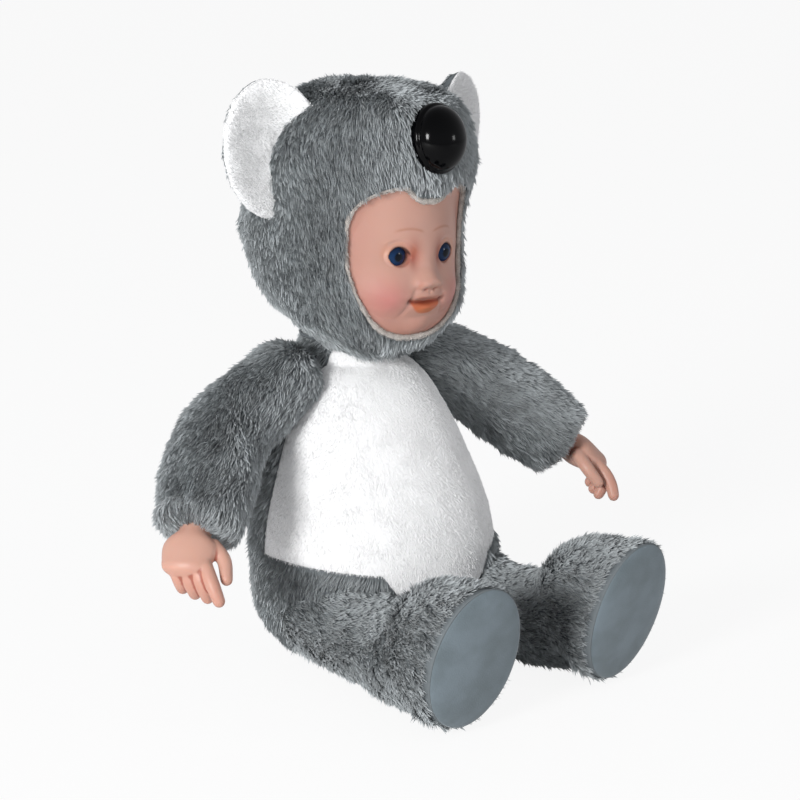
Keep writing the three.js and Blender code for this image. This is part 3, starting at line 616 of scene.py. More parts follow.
def baked(piece: Piece) -> Piece:
    """Apply every modifier on a piece and return it."""
    view = bpy.context.evaluated_depsgraph_get()
    mesh = bpy.data.meshes.new_from_object(
        piece.evaluated_get(view), preserve_all_data_layers=True, depsgraph=view
    )
    piece.modifiers.clear()
    old = piece.data
    piece.data = mesh
    mesh.name = piece.name
    bpy.data.meshes.remove(old)
    return piece


def carve(piece: Piece, cutter: Piece, how: Cut = Cut.LESS, keep: bool = False) -> Piece:
    """Cut one closed shape with another, and drop the cutter unless it is kept.

    Args:
        piece: the shape that changes.
        cutter: the other shape.
        how: the kind of cut.
        keep: whether the cutter stays.

    Returns:
        The changed shape.
    """
    step = piece.modifiers.new("cut", "BOOLEAN")
    step.operation = how.value
    step.solver = "EXACT"
    step.object = cutter
    baked(piece)
    if not keep:
        drop(cutter)
    return piece


def drop(piece: Piece) -> None:
    """Remove a scratch object and its mesh."""
    mesh = piece.data
    bpy.data.objects.remove(piece)
    if isinstance(mesh, bpy.types.Mesh) and not mesh.users:
        bpy.data.meshes.remove(mesh)


def mark(piece: Piece, name: str, values: Rows, domain: str = "POINT") -> None:
    """Store one number for each point or face of a piece."""
    layer = piece.data.attributes.get(name) or piece.data.attributes.new(name, "FLOAT", domain)
    layer.data.foreach_set("value", np.asarray(values, np.float32))


def paint(piece: Piece, name: str, colours: Rows) -> None:
    """Store one linear colour for each point of a piece."""
    layer = piece.data.attributes.new(name, "FLOAT_COLOR", "POINT")
    full = np.c_[colours, np.ones(len(colours))]
    layer.data.foreach_set("color", full.astype(np.float32).ravel())


def points_of(piece: Piece) -> Rows:
    """Return a piece's points in millimetres."""
    flat = np.zeros(len(piece.data.vertices) * 3)
    piece.data.vertices.foreach_get("co", flat)
    return flat.reshape(-1, 3) / MM


def faces_of(piece: Piece) -> tuple[Rows, Rows]:
    """Return the middles, in millimetres, and the normals of a piece's faces."""
    count = len(piece.data.polygons)
    middles, normals = np.zeros(count * 3), np.zeros(count * 3)
    piece.data.polygons.foreach_get("center", middles)
    piece.data.polygons.foreach_get("normal", normals)
    return middles.reshape(-1, 3) / MM, normals.reshape(-1, 3)


def hollows(piece: Piece, rounds: int) -> Rows:
    """Return how far the surface round each point rises above it, in millimetres.

    Args:
        piece: the piece, with even faces.
        rounds: how many times the result is evened out over neighbours.

    Returns:
        One number for each point, above 0 in a crease and below 0 on a swelling.
    """
    points = points_of(piece)
    normals = np.zeros(points.size)
    piece.data.vertices.foreach_get("normal", normals)
    normals = normals.reshape(-1, 3)
    ends = np.zeros(len(piece.data.edges) * 2, int)
    piece.data.edges.foreach_get("vertices", ends)
    first, last = ends.reshape(-1, 2).T
    count = np.maximum(np.bincount(ends, minlength=len(points)), 1)
    run = points[last] - points[first]
    rise = np.bincount(first, np.einsum("ij,ij->i", run, normals[first]), len(points))
    rise -= np.bincount(last, np.einsum("ij,ij->i", run, normals[last]), len(points))
    rise /= count
    for _ in range(rounds):
        around = np.bincount(first, rise[last], len(points)) + np.bincount(last, rise[first], len(points))
        rise = (rise + around / count) / 2
    return rise


# Node trees

MATH = "ShaderNodeMath"
VECTOR_MATH = "ShaderNodeVectorMath"
NOISE = "ShaderNodeTexNoise"
RANGE = "ShaderNodeMapRange"


def add_node(
    tree: bpy.types.NodeTree, kind: str, inputs: Any = (), out: int | str = 0, **settings: Any
) -> Any:
    """Add a node with its settings and links.

    Args:
        tree: the tree that it goes into.
        kind: the node's type.
        inputs: values, or the sockets that feed them, in order or by input name or number.
        out: which output is wanted.
        settings: the node's own properties.

    Returns:
        That output, or None from a node that has none.
    """
    node = tree.nodes.new(kind)
    for key, value in settings.items():
        setattr(node, key, value)
    for key, value in inputs.items() if isinstance(inputs, dict) else enumerate(inputs):
        if isinstance(value, bpy.types.NodeSocket):
            tree.links.new(value, node.inputs[key])
        else:
            node.inputs[key].default_value = value
    return node.outputs[out] if len(node.outputs) else None


@dataclass(frozen=True)
class Grain:
    """Fine relief: the size of its bumps and their depth in millimetres, detail and strength."""

    size: float
    depth: float
    strength: float
    detail: int = 2


@dataclass(frozen=True)
class Patches:
    """Two colours that take turns in patches of a size in millimetres."""

    size: float
    first: str
    second: str
    rough: float = 0.5


@dataclass(frozen=True)
class Finish:
    """A surface: what the real one is, its colour, its roughness and its fine relief."""

    name: str
    colour: str
    rough: float
    grain: Grain | None = None
    specular: float = 0.5
    more: tuple[tuple[str, Any], ...] = ()
    patches: Patches | None = None
    sprayed: bool = False

    def material(self) -> Material:
        """Make the material."""
        material = bpy.data.materials.new(self.name)
        material.use_nodes = True
        material.diffuse_color = srgb(self.colour)
        tree = material.node_tree
        add = partial(add_node, tree)
        taken = tree.nodes["Principled BSDF"].inputs
        colour = srgb(self.colour)
        plain = (("Base Color", colour), ("Roughness", self.rough), ("Specular IOR Level", self.specular))
        for name, value in plain + self.more:
            taken[name].default_value = value
        place = add("ShaderNodeTexCoord", out="Object")
        if self.patches:
            scale = 1 / (self.patches.size * MM)
            seed = {"Vector": place, "Scale": scale, "Detail": 3, "Roughness": self.patches.rough}
            share = add(RANGE, (add(NOISE, seed), 0.35, 0.65))
            pair = {0: share, 6: srgb(self.patches.first), 7: srgb(self.patches.second)}
            tree.links.new(add("ShaderNodeMix", pair, 2, data_type="RGBA"), taken["Base Color"])
        if self.sprayed:
            spray = add("ShaderNodeAttribute", out="Color", attribute_name="spray")
            tree.links.new(spray, taken["Base Color"])
        if self.grain:
            scale = 1 / (self.grain.size * MM)
            height = add(NOISE, {"Vector": place, "Scale": scale, "Detail": self.grain.detail})
            relief = {"Height": height, "Strength": self.grain.strength, "Distance": self.grain.depth * MM}
            tree.links.new(add("ShaderNodeBump", relief), taken["Normal"])
        return material


@dataclass(frozen=True)
class PileLook:
    """The colours of a pile from root to tip."""

    name: str
    root: str
    middle: str
    tip: str
    spread: float
    sheen: float

    def material(self) -> Material:
        """Make the strands' material: dark at the root, light at the tip, each strand its own tone."""
        more = (("Sheen Weight", self.sheen),)
        material = Finish(self.name, self.middle, 0.85, specular=0.25, more=more).material()
        tree = material.node_tree
        add = partial(add_node, tree)
        along = add("ShaderNodeAttribute", out="Fac", attribute_name="along")
        tone = add("ShaderNodeAttribute", out="Fac", attribute_name="tone")
        ramp = add("ShaderNodeValToRGB", (along,))
        stops = ramp.node.color_ramp.elements
        stops[0].color = srgb(self.root)
        stops[1].color = srgb(self.tip)
        stops.new(0.45).color = srgb(self.middle)
        shade = add(RANGE, (tone, 0, 1, 1 - self.spread, 1 + self.spread))
        grey = add("ShaderNodeCombineColor", (shade, shade, shade))
        colour = add("ShaderNodeMix", {0: 1.0, 6: ramp, 7: grey}, 2, data_type="RGBA", blend_type="MULTIPLY")
        tree.links.new(colour, tree.nodes["Principled BSDF"].inputs["Base Color"])
        return material


VINYL_GLOW = (
    ("Subsurface Weight", 0.18),
    ("Subsurface Radius", (0.9, 0.35, 0.2)),
    ("Subsurface Scale", 0.003),
)
VINYL = Finish("soft vinyl", "e3ab98", 0.42, Grain(0.4545, 0.2, 0.08), 0.35, VINYL_GLOW, sprayed=True)
LOOKS = {
    # Long acrylic strands with dull roots and pale tips, which break into darker and lighter locks.
    "grey": PileLook("grey acrylic plush pile", "5f6567", "969b9d", "bec3c5", 0.34, 0.2),
    # Short shorn polyester, so even that it reads as one soft white.
    "white": PileLook("white polyester plush pile", "f6f6f7", "fbfbfb", "ffffff", 0.015, 0.3),
    # Frayed cream yarn ends along the cut edge.
    "edge": PileLook("cream knit edge pile", "a39d98", "cbc4be", "e4dfda", 0.2, 0.1),
    # Knitted base cloth in the pile's shadow, matt. Its loops are drawn coarse so that they show.
    "grey_backing": Finish("grey plush backing", "6e7477", 0.95, Grain(3.846, 0.6, 0.6, 3), 0.1),
    "white_backing": Finish("white plush backing", "fafafa", 0.95, Grain(3.846, 0.6, 0.6, 3), 0.1),
    # Rolled knit edge, pale from its backing, mottled where the yarn turns.
    "hem": Finish(
        "rolled plush backing",
        "c4bdb6",
        0.95,
        Grain(1.111, 0.6, 0.7),
        patches=Patches(2.857, "a8a39d", "dad4cd"),
    ),
    # Cut velour brushed flat: soft patches of painted light and shade where the pile leans, and a pale sheen
    # at grazing angles.
    "velour": Finish(
        "blue-grey velour",
        "6f7a80",
        0.9,
        Grain(0.6667, 0.3, 0.35),
        0.15,
        (("Sheen Weight", 0.5), ("Sheen Roughness", 0.4)),
        Patches(16.67, "687378", "77838a", 0.55),
    ),
    # Rotocast soft vinyl, satin, with light that glows through thin places. Its colour is sprayed on, with
    # painted shade in its creases and hollows.
    "skin": VINYL,
    "face": replace(VINYL, name="soft vinyl with sprayed colour"),
    # Clear-coated acrylic over a printed iris: a small sharp highlight.
    "eye": Finish("gloss acrylic eye", "23456f", 0.06, specular=0.2, sprayed=True),
    # Moulded gloss plastic with the faint ripple of its mould.
    "nose": Finish("black gloss plastic", "010102", 0.12, Grain(8.333, 0.5, 0.04, 1), 0.14),
    # Loose fibre, matt and lumpy.
    "fibre": Finish("polyester fibre fill", "f2f1ee", 1.0, Grain(3.333, 2, 0.5, 3)),
    # Plain weave, its threads drawn coarse so that they show.
    "cotton": Finish("woven cotton", "d9d2c4", 0.9, Grain(1.111, 0.6, 0.5, 3)),
    # Twisted thread, dull, close to the fur in tone.
    "thread": Finish("grey sewing thread", "62686b", 0.8, Grain(0.5556, 0.4, 0.5, 3)),
    # Moulded nylon with a half-matt skin.
    "washer": Finish("black nylon", "2a2a2c", 0.5, Grain(1.429, 0.2, 0.5, 3)),
    "tie": Finish("white nylon", "e4e4e0", 0.5, Grain(1.429, 0.2, 0.5, 3)),
}
PAPER = Finish("white paper", "ffffff", 1.0, Grain(2.5, 0.2, 0.02), 0.0)


@dataclass(frozen=True)
class Pile:
    """The size and lie of a pile's strands, in millimetres and shares."""

    length: float
    width: float
    per_mm2: float
    lean: float
    clump: float
    tuft: float
    wander: float
    seed: int


GREY_PILE = Pile(length=5.2, width=0.24, per_mm2=4.6, lean=70, clump=0.36, tuft=3.6, wander=0.18, seed=11)
WHITE_PILE = Pile(length=1.5, width=0.17, per_mm2=5.2, lean=74, clump=0.05, tuft=2.5, wander=0.12, seed=23)
LEG_PILE = Pile(length=5.4, width=0.27, per_mm2=3.6, lean=67, clump=0.42, tuft=4.0, wander=0.2, seed=41)
EAR_WHITE_PILE = Pile(length=1.7, width=0.18, per_mm2=7.0, lean=70, clump=0.06, tuft=2.5, wander=0.2, seed=31)
EAR_GREY_PILE = Pile(length=2.6, width=0.22, per_mm2=5.5, lean=76, clump=0.3, tuft=4.0, wander=0.22, seed=37)
EDGE_PILE = Pile(length=0.9, width=0.14, per_mm2=12.0, lean=55, clump=0.3, tuft=1.6, wander=0.4, seed=53)


def ribbon(name: str, curl: float, twist: float) -> Piece:
    """Make one strand of unit length along Z and unit width along X.

    Args:
        name: the object's name.
        curl: how far the tip bends down.
        twist: how far it turns from root to tip, in radians.

    Returns:
        The strand, with its share along stored at each point.
    """
    points, along = [], []
    for stop in (0.0, 0.55):
        half = 0.5 * (1 - 0.15 * stop)
        turn = twist * stop
        for sign in (-1, 1):
            y = -curl * stop * stop + sign * half * math.sin(turn) * 0.3
            points.append((sign * half * math.cos(turn), y, stop))
            along.append(stop)
    mesh = bpy.data.meshes.new(name)
    mesh.from_pydata([*points, (0.0, -curl, 1.0)], [], [(0, 1, 3, 2), (2, 3, 4)])
    strand = bpy.data.objects.new(name, mesh)
    mark(strand, "along", np.array([*along, 1.0]))
    return strand


def ribbon_set() -> bpy.types.Collection:
    """Make the strands that every pile picks from."""
    group = bpy.data.collections.new("strands")
    bpy.context.scene.collection.children.link(group)
    for k, (curl, twist) in enumerate(((0.08, 0.5), (0.2, -0.7), (0.0, 0.9), (0.28, 0.2))):
        group.objects.link(ribbon(f"strand_{k}", curl, twist))
    return group


class PileMaker:
    """Grows piles as real strands of mesh on the skins of the suit."""

    SOCKETS = {
        "Float": ("Density", "Length", "Width", "Lean", "Clump", "Tuft", "Wander"),
        "Vector": ("Nap",),
        "String": ("Area",),
        "Int": ("Seed",),
        "Material": ("Material",),
    }

    def __init__(self) -> None:
        """Make the strands and the node group that plants them."""
        self.strands = ribbon_set()
        self.tree = self._tree()

    def _tree(self) -> bpy.types.NodeTree:
        """Build the node group that scatters and leans the strands."""
        tree = bpy.data.node_groups.new("pile", "GeometryNodeTree")
        face = tree.interface
        face.new_socket("Geometry", in_out="INPUT", socket_type="NodeSocketGeometry")
        for kind, names in self.SOCKETS.items():
            for name in names:
                face.new_socket(name, in_out="INPUT", socket_type=f"NodeSocket{kind}")
        face.new_socket("Geometry", in_out="OUTPUT", socket_type="NodeSocketGeometry")
        add = partial(add_node, tree)
        given = add("NodeGroupInput").node.outputs
        area = add("GeometryNodeInputNamedAttribute", (given["Area"],), data_type="FLOAT")
        density = add(MATH, (area, given["Density"]), operation="MULTIPLY")
        source = {"Mesh": given["Geometry"], "Density": density, "Seed": given["Seed"]}
        spread = add("GeometryNodeDistributePointsOnFaces", source)
        normal = spread.node.outputs["Normal"]
        way = self._way(add, given, normal)
        turn = add("FunctionNodeAxesToRotation", (way, normal), primary_axis="Z", secondary_axis="Y")
        other_seed = add(MATH, (given["Seed"], 7), operation="ADD")
        chance = add("FunctionNodeRandomValue", {2: 0.0, 3: 1.0, "Seed": other_seed}, 1, data_type="FLOAT")
        long = add(MATH, (given["Length"], add(RANGE, (chance, 0, 1, 0.62, 1.08))), operation="MULTIPLY")
        size = add("ShaderNodeCombineXYZ", (given["Width"], long, long))
        strands = add("GeometryNodeCollectionInfo", (self.strands, True, True), transform_space="ORIGINAL")
        plan = {"Points": spread, "Instance": strands, "Pick Instance": True, "Rotation": turn, "Scale": size}
        planted = add("GeometryNodeInstanceOnPoints", plan)
        tone = {"Geometry": planted, "Name": "tone", "Value": self._tone(add, chance)}
        toned = add("GeometryNodeStoreNamedAttribute", tone, data_type="FLOAT", domain="INSTANCE")
        real = add("GeometryNodeRealizeInstances", (toned,))
        clad = add("GeometryNodeSetMaterial", {"Geometry": real, "Material": given["Material"]})
        add("NodeGroupOutput", (clad,))
        return tree

    @staticmethod
    def _way(add: Callable[..., Any], given: Any, normal: Any) -> Any:
        """Add the nodes that say which way each strand points.

        Args:
            add: adds a node to the tree.
            given: the group's inputs.
            normal: the surface's normal at each root.

        Returns:
            The socket with the direction: along the nap, gathered into tufts, with some wander.
        """
        place = add("GeometryNodeInputPosition")
        # Swirls of the nap are about 18 mm wide, and patches where it stands up about 8 mm.
        swirl = add(NOISE, {"Vector": place, "Scale": 55.0, "Detail": 1.0}, 1)
        swirl = add(VECTOR_MATH, (swirl, (0.5, 0.5, 0.5)), operation="SUBTRACT")
        swirl = add(VECTOR_MATH, {0: swirl, "Scale": 1.5}, operation="SCALE")
        nap = add(VECTOR_MATH, (given["Nap"],), operation="NORMALIZE")
        flow = add(VECTOR_MATH, (nap, swirl), operation="ADD")
        rise = add(VECTOR_MATH, (flow, normal), "Value", operation="DOT_PRODUCT")
        rise = add(VECTOR_MATH, {0: normal, "Scale": rise}, operation="SCALE")
        flat = add(VECTOR_MATH, (flow, rise), operation="SUBTRACT")
        flat = add(VECTOR_MATH, (flat,), operation="NORMALIZE")
        cell_scale = add(MATH, (1.0, given["Tuft"]), operation="DIVIDE")
        cell = add("ShaderNodeTexVoronoi", {"Vector": place, "Scale": cell_scale}, "Position")
        pull = add(VECTOR_MATH, (cell, place), operation="SUBTRACT")
        force = add(MATH, (given["Clump"], given["Length"]), operation="DIVIDE")
        gather = add(VECTOR_MATH, {0: pull, "Scale": force}, operation="SCALE")
        uneven = add(NOISE, {"Vector": place, "Scale": 130.0, "Detail": 1})
        lean = add(MATH, (given["Lean"], add(RANGE, (uneven, 0.3, 0.7, -0.2, 0.2))), operation="ADD")
        up = add(VECTOR_MATH, {0: normal, "Scale": add(MATH, (lean,), operation="COSINE")}, operation="SCALE")
        lie = add(VECTOR_MATH, {0: flat, "Scale": add(MATH, (lean,), operation="SINE")}, operation="SCALE")
        spans = {0: (-1, -1, -1), 1: (1, 1, 1), "Seed": given["Seed"]}
        jitter = add("FunctionNodeRandomValue", spans, data_type="FLOAT_VECTOR")
        jitter = add(VECTOR_MATH, {0: jitter, "Scale": given["Wander"]}, operation="SCALE")
        way = add(VECTOR_MATH, (up, lie), operation="ADD")
        way = add(VECTOR_MATH, (way, gather), operation="ADD")
        return add(VECTOR_MATH, (way, jitter), operation="ADD")

    @staticmethod
    def _tone(add: Callable[..., Any], chance: Any) -> Any:
        """Add the nodes that give each strand a tone, from locks, wide patches and chance.

        Args:
            add: adds a node to the tree.
            chance: a random number for each strand.

        Returns:
            The socket with the tone.
        """
        place = add("GeometryNodeInputPosition")
        # Locks are about 6 mm wide and paler patches about 22 mm.
        lock = add(NOISE, {"Vector": place, "Scale": 170.0, "Detail": 2, "Roughness": 0.6})
        lock = add(MATH, (add(RANGE, (lock, 0.32, 0.68)), 0.5), operation="MULTIPLY")
        patch = add(NOISE, {"Vector": place, "Scale": 45.0, "Detail": 1})
        patch = add(MATH, (add(RANGE, (patch, 0.3, 0.7)), 0.22), operation="MULTIPLY")
        own = add(MATH, (chance, 0.28), operation="MULTIPLY")
        tone = add(MATH, (lock, patch), operation="ADD")
        return add(MATH, (tone, own), operation="ADD")

    def grow(self, name: str, skin: Piece, pile: Pile, nap: Point, area: str, material: Material) -> Piece:
        """Grow strands on the marked faces of a skin, as a new object.

        Args:
            name: the new object's name.
            skin: the piece that the strands grow on.
            pile: the strands' size and lie.
            nap: which way the strands lie.
            area: the face attribute that says where they grow.
            material: what they are made of.

        Returns:
            The pile.
        """
        host = duplicate(skin, name)
        step = host.modifiers.new("pile", "NODES")
        step.node_group = self.tree
        values = {
            "Density": pile.per_mm2 / MM / MM,
            "Length": pile.length * MM,
            "Width": pile.width * MM,
            "Lean": math.radians(pile.lean),
            "Clump": pile.clump,
            "Tuft": pile.tuft * MM,
            "Wander": pile.wander,
            "Nap": nap,
            "Area": area,
            "Seed": pile.seed,
            "Material": material,
        }
        for socket in self.tree.interface.items_tree:
            if socket.name in values:
                step[socket.identifier] = values[socket.name]
        baked(host)
        host.data.materials.clear()
        host.data.materials.append(material)
        LOG.info("%s: %d triangles", name, sum(len(p.vertices) - 2 for p in host.data.polygons))
        return host

    def clear(self) -> None:
        """Remove the strands that the piles were made from."""
        for strand in list(self.strands.objects):
            drop(strand)
        bpy.data.collections.remove(self.strands)


# Face


@dataclass(frozen=True)
class Swelling:
    """One swelling or hollow of the face: where it is, its spread and how far it stands out."""

    across: float
    below: float
    wide: float
    tall: float
    high: float

    def at(self, x: Rows, z: Rows) -> Rows:
        """Return its height at places seen from the front, on both sides if it has a place across."""
        over = (np.abs(x) if self.across else x) - self.across
        return self.high * bell(over / self.wide) * bell((z - EYE_Z + self.below) / self.tall)


FACE_FORMS = (
    Swelling(0, 9.0, 4.6, 3.6, 4.0),
    Swelling(4.1, 10.2, 2.6, 2.3, 1.6),
    Swelling(0, 3, 4.5, 5.5, 0.5),
    Swelling(16.5, 15.8, 9.2, 9.0, 4.0),
    Swelling(EYE_X, 0, 6, 4.6, -2.4),
    Swelling(0, 17, 14, 11, 1.8),
    Swelling(0, 15.2, 6.5, 1.6, 1.4),
    Swelling(0, 17.4, 7, 1.2, -2),
    Swelling(0, 20.2, 5, 1.8, 1.6),
    Swelling(0, 29, 8, 5, 3),
)
FACE_CREASES = (
    Swelling(5.8, 1.0, 1.8, 3.4, -0.7),
    Swelling(2.2, 12.4, 1.25, 0.8, -1.1),
    Swelling(0, 13.4, 0.8, 1.2, -0.4),
    Swelling(7.9, 17.4, 1.3, 1.3, -1.0),
    Swelling(8.0, -11.2, 6.0, 2.0, 0.35),
    Swelling(0, 24.3, 5.0, 1.1, -0.6),
)
EYE_HALF_WIDTH = 4.7
EYE_HALF_HEIGHT = 3.9
LID = 0.55


def face_front(x: Rows, z: Rows) -> Rows:
    """Return how far forward the vinyl face lies at places seen from the front.

    Args:
        x: places across.
        z: places up, as many.

    Returns:
        One distance towards -Y for each place.
    """
    u = x / (FACE_WIDTH / 2 + FACE_RIM)
    v = (z - FACE_CENTRE) / (FACE_HEIGHT / 2 + FACE_RIM)
    jaw = FACE_JAW_SINK * np.maximum(EYE_Z - z, 0)
    sink = FACE_SINK + (FACE_RIM_SINK - FACE_SINK) * (u * u + v * v) + jaw
    sink = FACE_RIM_SINK - np.log1p(np.exp(FACE_RIM_SINK - sink))
    return HOOD.front(x, z) - sink + sum(form.at(x, z) for form in FACE_FORMS)


def eye_opening(x: Rows, z: Rows) -> Rows:
    """Return how far places lie inside the opening between the lids, in millimetres.

    Args:
        x: places across.
        z: places up, as many.

    Returns:
        One number for each place, below 0 outside.
    """
    side = np.abs(x)
    over = (side - EYE_X) / EYE_HALF_WIDTH
    tilt = 0.35 * (side - EYE_X) / EYE_HALF_WIDTH
    bend = np.maximum(1 - over * over, 0) ** 0.62
    upper = EYE_Z + tilt + EYE_HALF_HEIGHT * bend
    lower = EYE_Z + tilt - EYE_HALF_HEIGHT * 0.95 * bend
    inside = np.minimum(upper - z, z - lower)
    return np.where(np.abs(over) < 1, inside, -np.hypot(side - EYE_X, z - EYE_Z) * 0.3)


def face_relief(x: Rows, z: Rows) -> Rows:
    """Return how far forward the finished face lies, with its lids and creases.

    Args:
        x: places across.
        z: places up, as many.

    Returns:
        One distance towards -Y for each place.
    """
    side = np.abs(x)
    base = face_front(x, z) + sum(form.at(x, z) for form in FACE_CREASES)
    fold = 5.4 + 0.36 * (NOSE_Z - 1 - z)
    base = base - 0.5 * bell((side - fold) / 1.3) * smooth(144, 148, z) * (1 - smooth(157, 160, z))
    centre = float(face_front(np.array([EYE_X]), np.array([EYE_Z]))[0]) + EYE_PROUD - EYE_RADIUS
    off = np.hypot(side - EYE_X, z - EYE_Z)
    ball = np.sqrt(np.maximum(EYE_RADIUS**2 - off**2, 0))
    lid = centre + np.sqrt(np.maximum((EYE_RADIUS + LID) ** 2 - off**2, 0))
    lidded = np.where(off < EYE_RADIUS, np.maximum(base, lid), base)
    crease = EYE_Z + 6.1 - 0.07 * (side - EYE_X) ** 2
    lidded = lidded - 0.45 * bell((z - crease) / 0.8) * bell((side - EYE_X) / 5.0)
    sunk = centre + ball - 1.2
    inside = smooth(-0.05, 0.28, eye_opening(x, z))
    return lidded * (1 - inside) + np.minimum(sunk, lidded) * inside


def face_edge(angle: Rows, grow: float = 0) -> tuple[Rows, Rows]:
    """Return X and Z on the face opening's edge: squarer above its widest place than below.

    Args:
        angle: angles from straight up.
        grow: how far outside the edge.

    Returns:
        X and Z for each angle.
    """
    upper = np.cos(angle) > 0
    power = np.where(upper, FACE_CORNER, FACE_JAW)
    across = np.abs(np.sin(angle)) / (FACE_WIDTH / 2 + grow)
    tall = np.abs(np.cos(angle)) / (FACE_HEIGHT / 2 + np.where(upper, -FACE_WIDEST, FACE_WIDEST) + grow)
    reach = (across**power + tall**power) ** (-1 / power)
    return reach * np.sin(angle), FACE_CENTRE + FACE_WIDEST + reach * np.cos(angle)


def opening_outline(grow: float, steps: int) -> Rows:
    """Return the face opening's outline, with the hood's lobe over the forehead.

    Args:
        grow: how far outside the edge.
        steps: number of corners.

    Returns:
        X and Z of each corner.
    """
    angle = np.arange(steps) / steps * 2 * np.pi
    x, z = face_edge(angle)
    z = z - LOBE_DROP * np.exp(-((x / LOBE_HALF) ** 4)) * (np.cos(angle) > 0)
    run_x, run_z = (np.roll(row, -1) - np.roll(row, 1) for row in (x, z))
    run = np.hypot(run_x, run_z)
    return np.stack([x - grow * run_z / run, z + grow * run_x / run], 1)


def inside_opening(x: Rows, z: Rows) -> Rows:
    """Return how far places seen from the front lie inside the face opening, below 0 outside.

    Args:
        x: places across.
        z: places up, as many.

    Returns:
        One distance for each place.
    """
    outline = opening_outline(0, 320)
    run = np.roll(outline, -1, 0) - np.roll(outline, 1, 0)
    run /= np.linalg.norm(run, axis=1)[:, None]
    tree = KDTree(len(outline))
    for k, (a, b) in enumerate(outline):
        tree.insert((a, b, 0), k)
    tree.balance()
    near = np.array([tree.find((a, b, 0))[1] for a, b in zip(x, z)])
    away = np.stack([x, z], 1) - outline[near]
    return away[:, 0] * run[near, 1] - away[:, 1] * run[near, 0]


def spray_face(points: Rows) -> Rows:
    """Return the sprayed colour of the face at its points, with painted shade in its hollows, before the head
    leans.

    Args:
        points: one row for each point.

    Returns:
        One linear colour for each point.
    """
    x, z = points[:, 0], points[:, 2]
    side = np.abs(x)
    spray = Spray("c29687", len(points))
    coat = spray.coat
    coat("b8706c", 0.75 * bell(np.hypot((side - 17.9) / 8.0, (z - 153.3) / 7.5)))
    coat("b77a6c", 0.35 * bell((z - FACE_CENTRE + 28) / 6))
    # Darker towards the sides of the face by the hood's edge: partly sprayed colour, partly painted shade.
    coat("a97466", 0.6 * smooth(16, 30, side))
    # Reddish brown at the inner corners of the eyes: sprayed colour, deepened with painted shade on the
    # socket's wall.
    coat("7f3a2e", 0.85 * bell(np.hypot((side - 6.4) / 2.1, (z - EYE_Z - 0.8) / 4.4)))
    coat("b0604e", 0.4 * bell(np.hypot((side - 6.8) / 3.4, (z - EYE_Z - 1.6) / 5.2)))
    edge = eye_opening(x, z)
    near = np.hypot(side - EYE_X, z - EYE_Z) < 7.5
    coat("c98460", 0.2 * near * bell((edge + 1.3) / 1.1) * smooth(EYE_Z - 1.5, EYE_Z + 2.5, z))
    coat("cc8a66", 0.2 * bell(np.hypot((side - 17.4) / 1.7, (z - EYE_Z - 1.6) / 3.0)))
    # A dark line along the upper lid's edge: painted liner, with painted shade under the lid.
    coat("3a211f", 0.9 * near * bell(edge / 0.5) * smooth(EYE_Z - 0.5, EYE_Z + 1.5, z))
    coat("9c5a4a", 0.6 * near * bell(edge / 0.5) * (1 - smooth(EYE_Z - 1.5, EYE_Z + 0.5, z)))
    brow = EYE_Z + 11.2 - 0.034 * (side - 8.5) ** 2
    coat("a2684c", 0.5 * bell((z - brow) / 0.5) * smooth(1.6, 4.0, side) * (1 - smooth(12.0, 15.4, side)))
    lower_edge = MOUTH_Z + 1.6 - 5.4 * np.maximum(1 - np.abs(x / 7.7) ** 2.4, 0) ** 0.75
    upper_edge = MOUTH_Z + 1.6 - 0.35 * bell(x / 1.2) + 0.008 * x * x
    mouth = smooth(-0.35, 0.35, z - lower_edge) * smooth(-0.3, 0.3, upper_edge - z)
    mouth = mouth * (1 - smooth(7.2, 8.0, side))
    coat("bd6239", 0.9 * mouth)
    coat("cf8054", 0.6 * mouth * bell((z - MOUTH_Z + 2.4) / 1.0) * bell(x / 4.5))
    coat("712a20", 0.85 * bell((z - MOUTH_Z - 0.9 - 0.008 * x * x) / 0.75) * (1 - smooth(7.0, 8.2, side)))
    coat("c98270", 0.45 * bell((z - MOUTH_Z - 3.0) / 1.0) * (1 - smooth(4, 8, side)))
    # Painted shade in the dimples at the mouth's corners.
    coat("6e3025", 0.8 * bell(np.hypot((side - 8.1) / 0.9, (z - MOUTH_Z - 1.7) / 0.9)))
    # Painted shade in the nostrils.
    coat("9a4f40", 0.75 * bell(np.hypot((side - 2.2) / 1.0, (z - NOSE_Z + 3.4) / 0.6)))
    # Painted shade along the creases where the nose's wings meet the cheeks.
    coat("a8604e", 0.4 * bell(np.hypot((side - 5.4) / 0.8, (z - NOSE_Z + 1.6) / 2.2)))
    return spray.colour


def plate_data(rings: int, segments: int, outline: Outline, front: Field, back: Field) -> MeshData:
    """Return the points and faces of a plate over a disc in the XZ plane.

    Args:
        rings: rings from the middle to the edge.
        segments: points in each ring.
        outline: gives X and Z at a share and an angle.
        front: gives Y on the front at rows of X, Z and share.
        back: gives Y on the back at rows of X, Z and share.

    Returns:
        The points, front first, and the faces.
    """
    shares = np.repeat(np.arange(1, rings + 1) / rings, segments)
    angles = np.tile(np.arange(segments) / segments * 2 * np.pi, rings)
    shares, angles = np.r_[0, shares], np.r_[0, angles]
    x, z = outline(shares, angles)
    rows = np.stack([x, z, shares], 1)
    sheets = [np.stack([x, surface_at(rows), z], 1) for surface_at in (front, back)]
    half = len(x)
    faces = []
    for start in (0, half):
        for i in range(segments):
            j = (i + 1) % segments
            faces.append([start, start + 1 + i, start + 1 + j])
            for k in range(rings - 1):
                a = start + 1 + k * segments
                faces.append([a + i, a + segments + i, a + segments + j, a + j])
    rim = 1 + (rings - 1) * segments
    for i in range(segments):
        j = (i + 1) % segments
        faces.append([rim + i, rim + j, half + rim + j, half + rim + i])
    return np.vstack(sheets), faces


# The doll


def mark_outside(piece: Piece, name: str, outside: Test) -> None:
    """Mark where strands grow: 1 on the faces that a test picks, 0 elsewhere."""
    mark(piece, name, outside(*faces_of(piece)), "FACE")


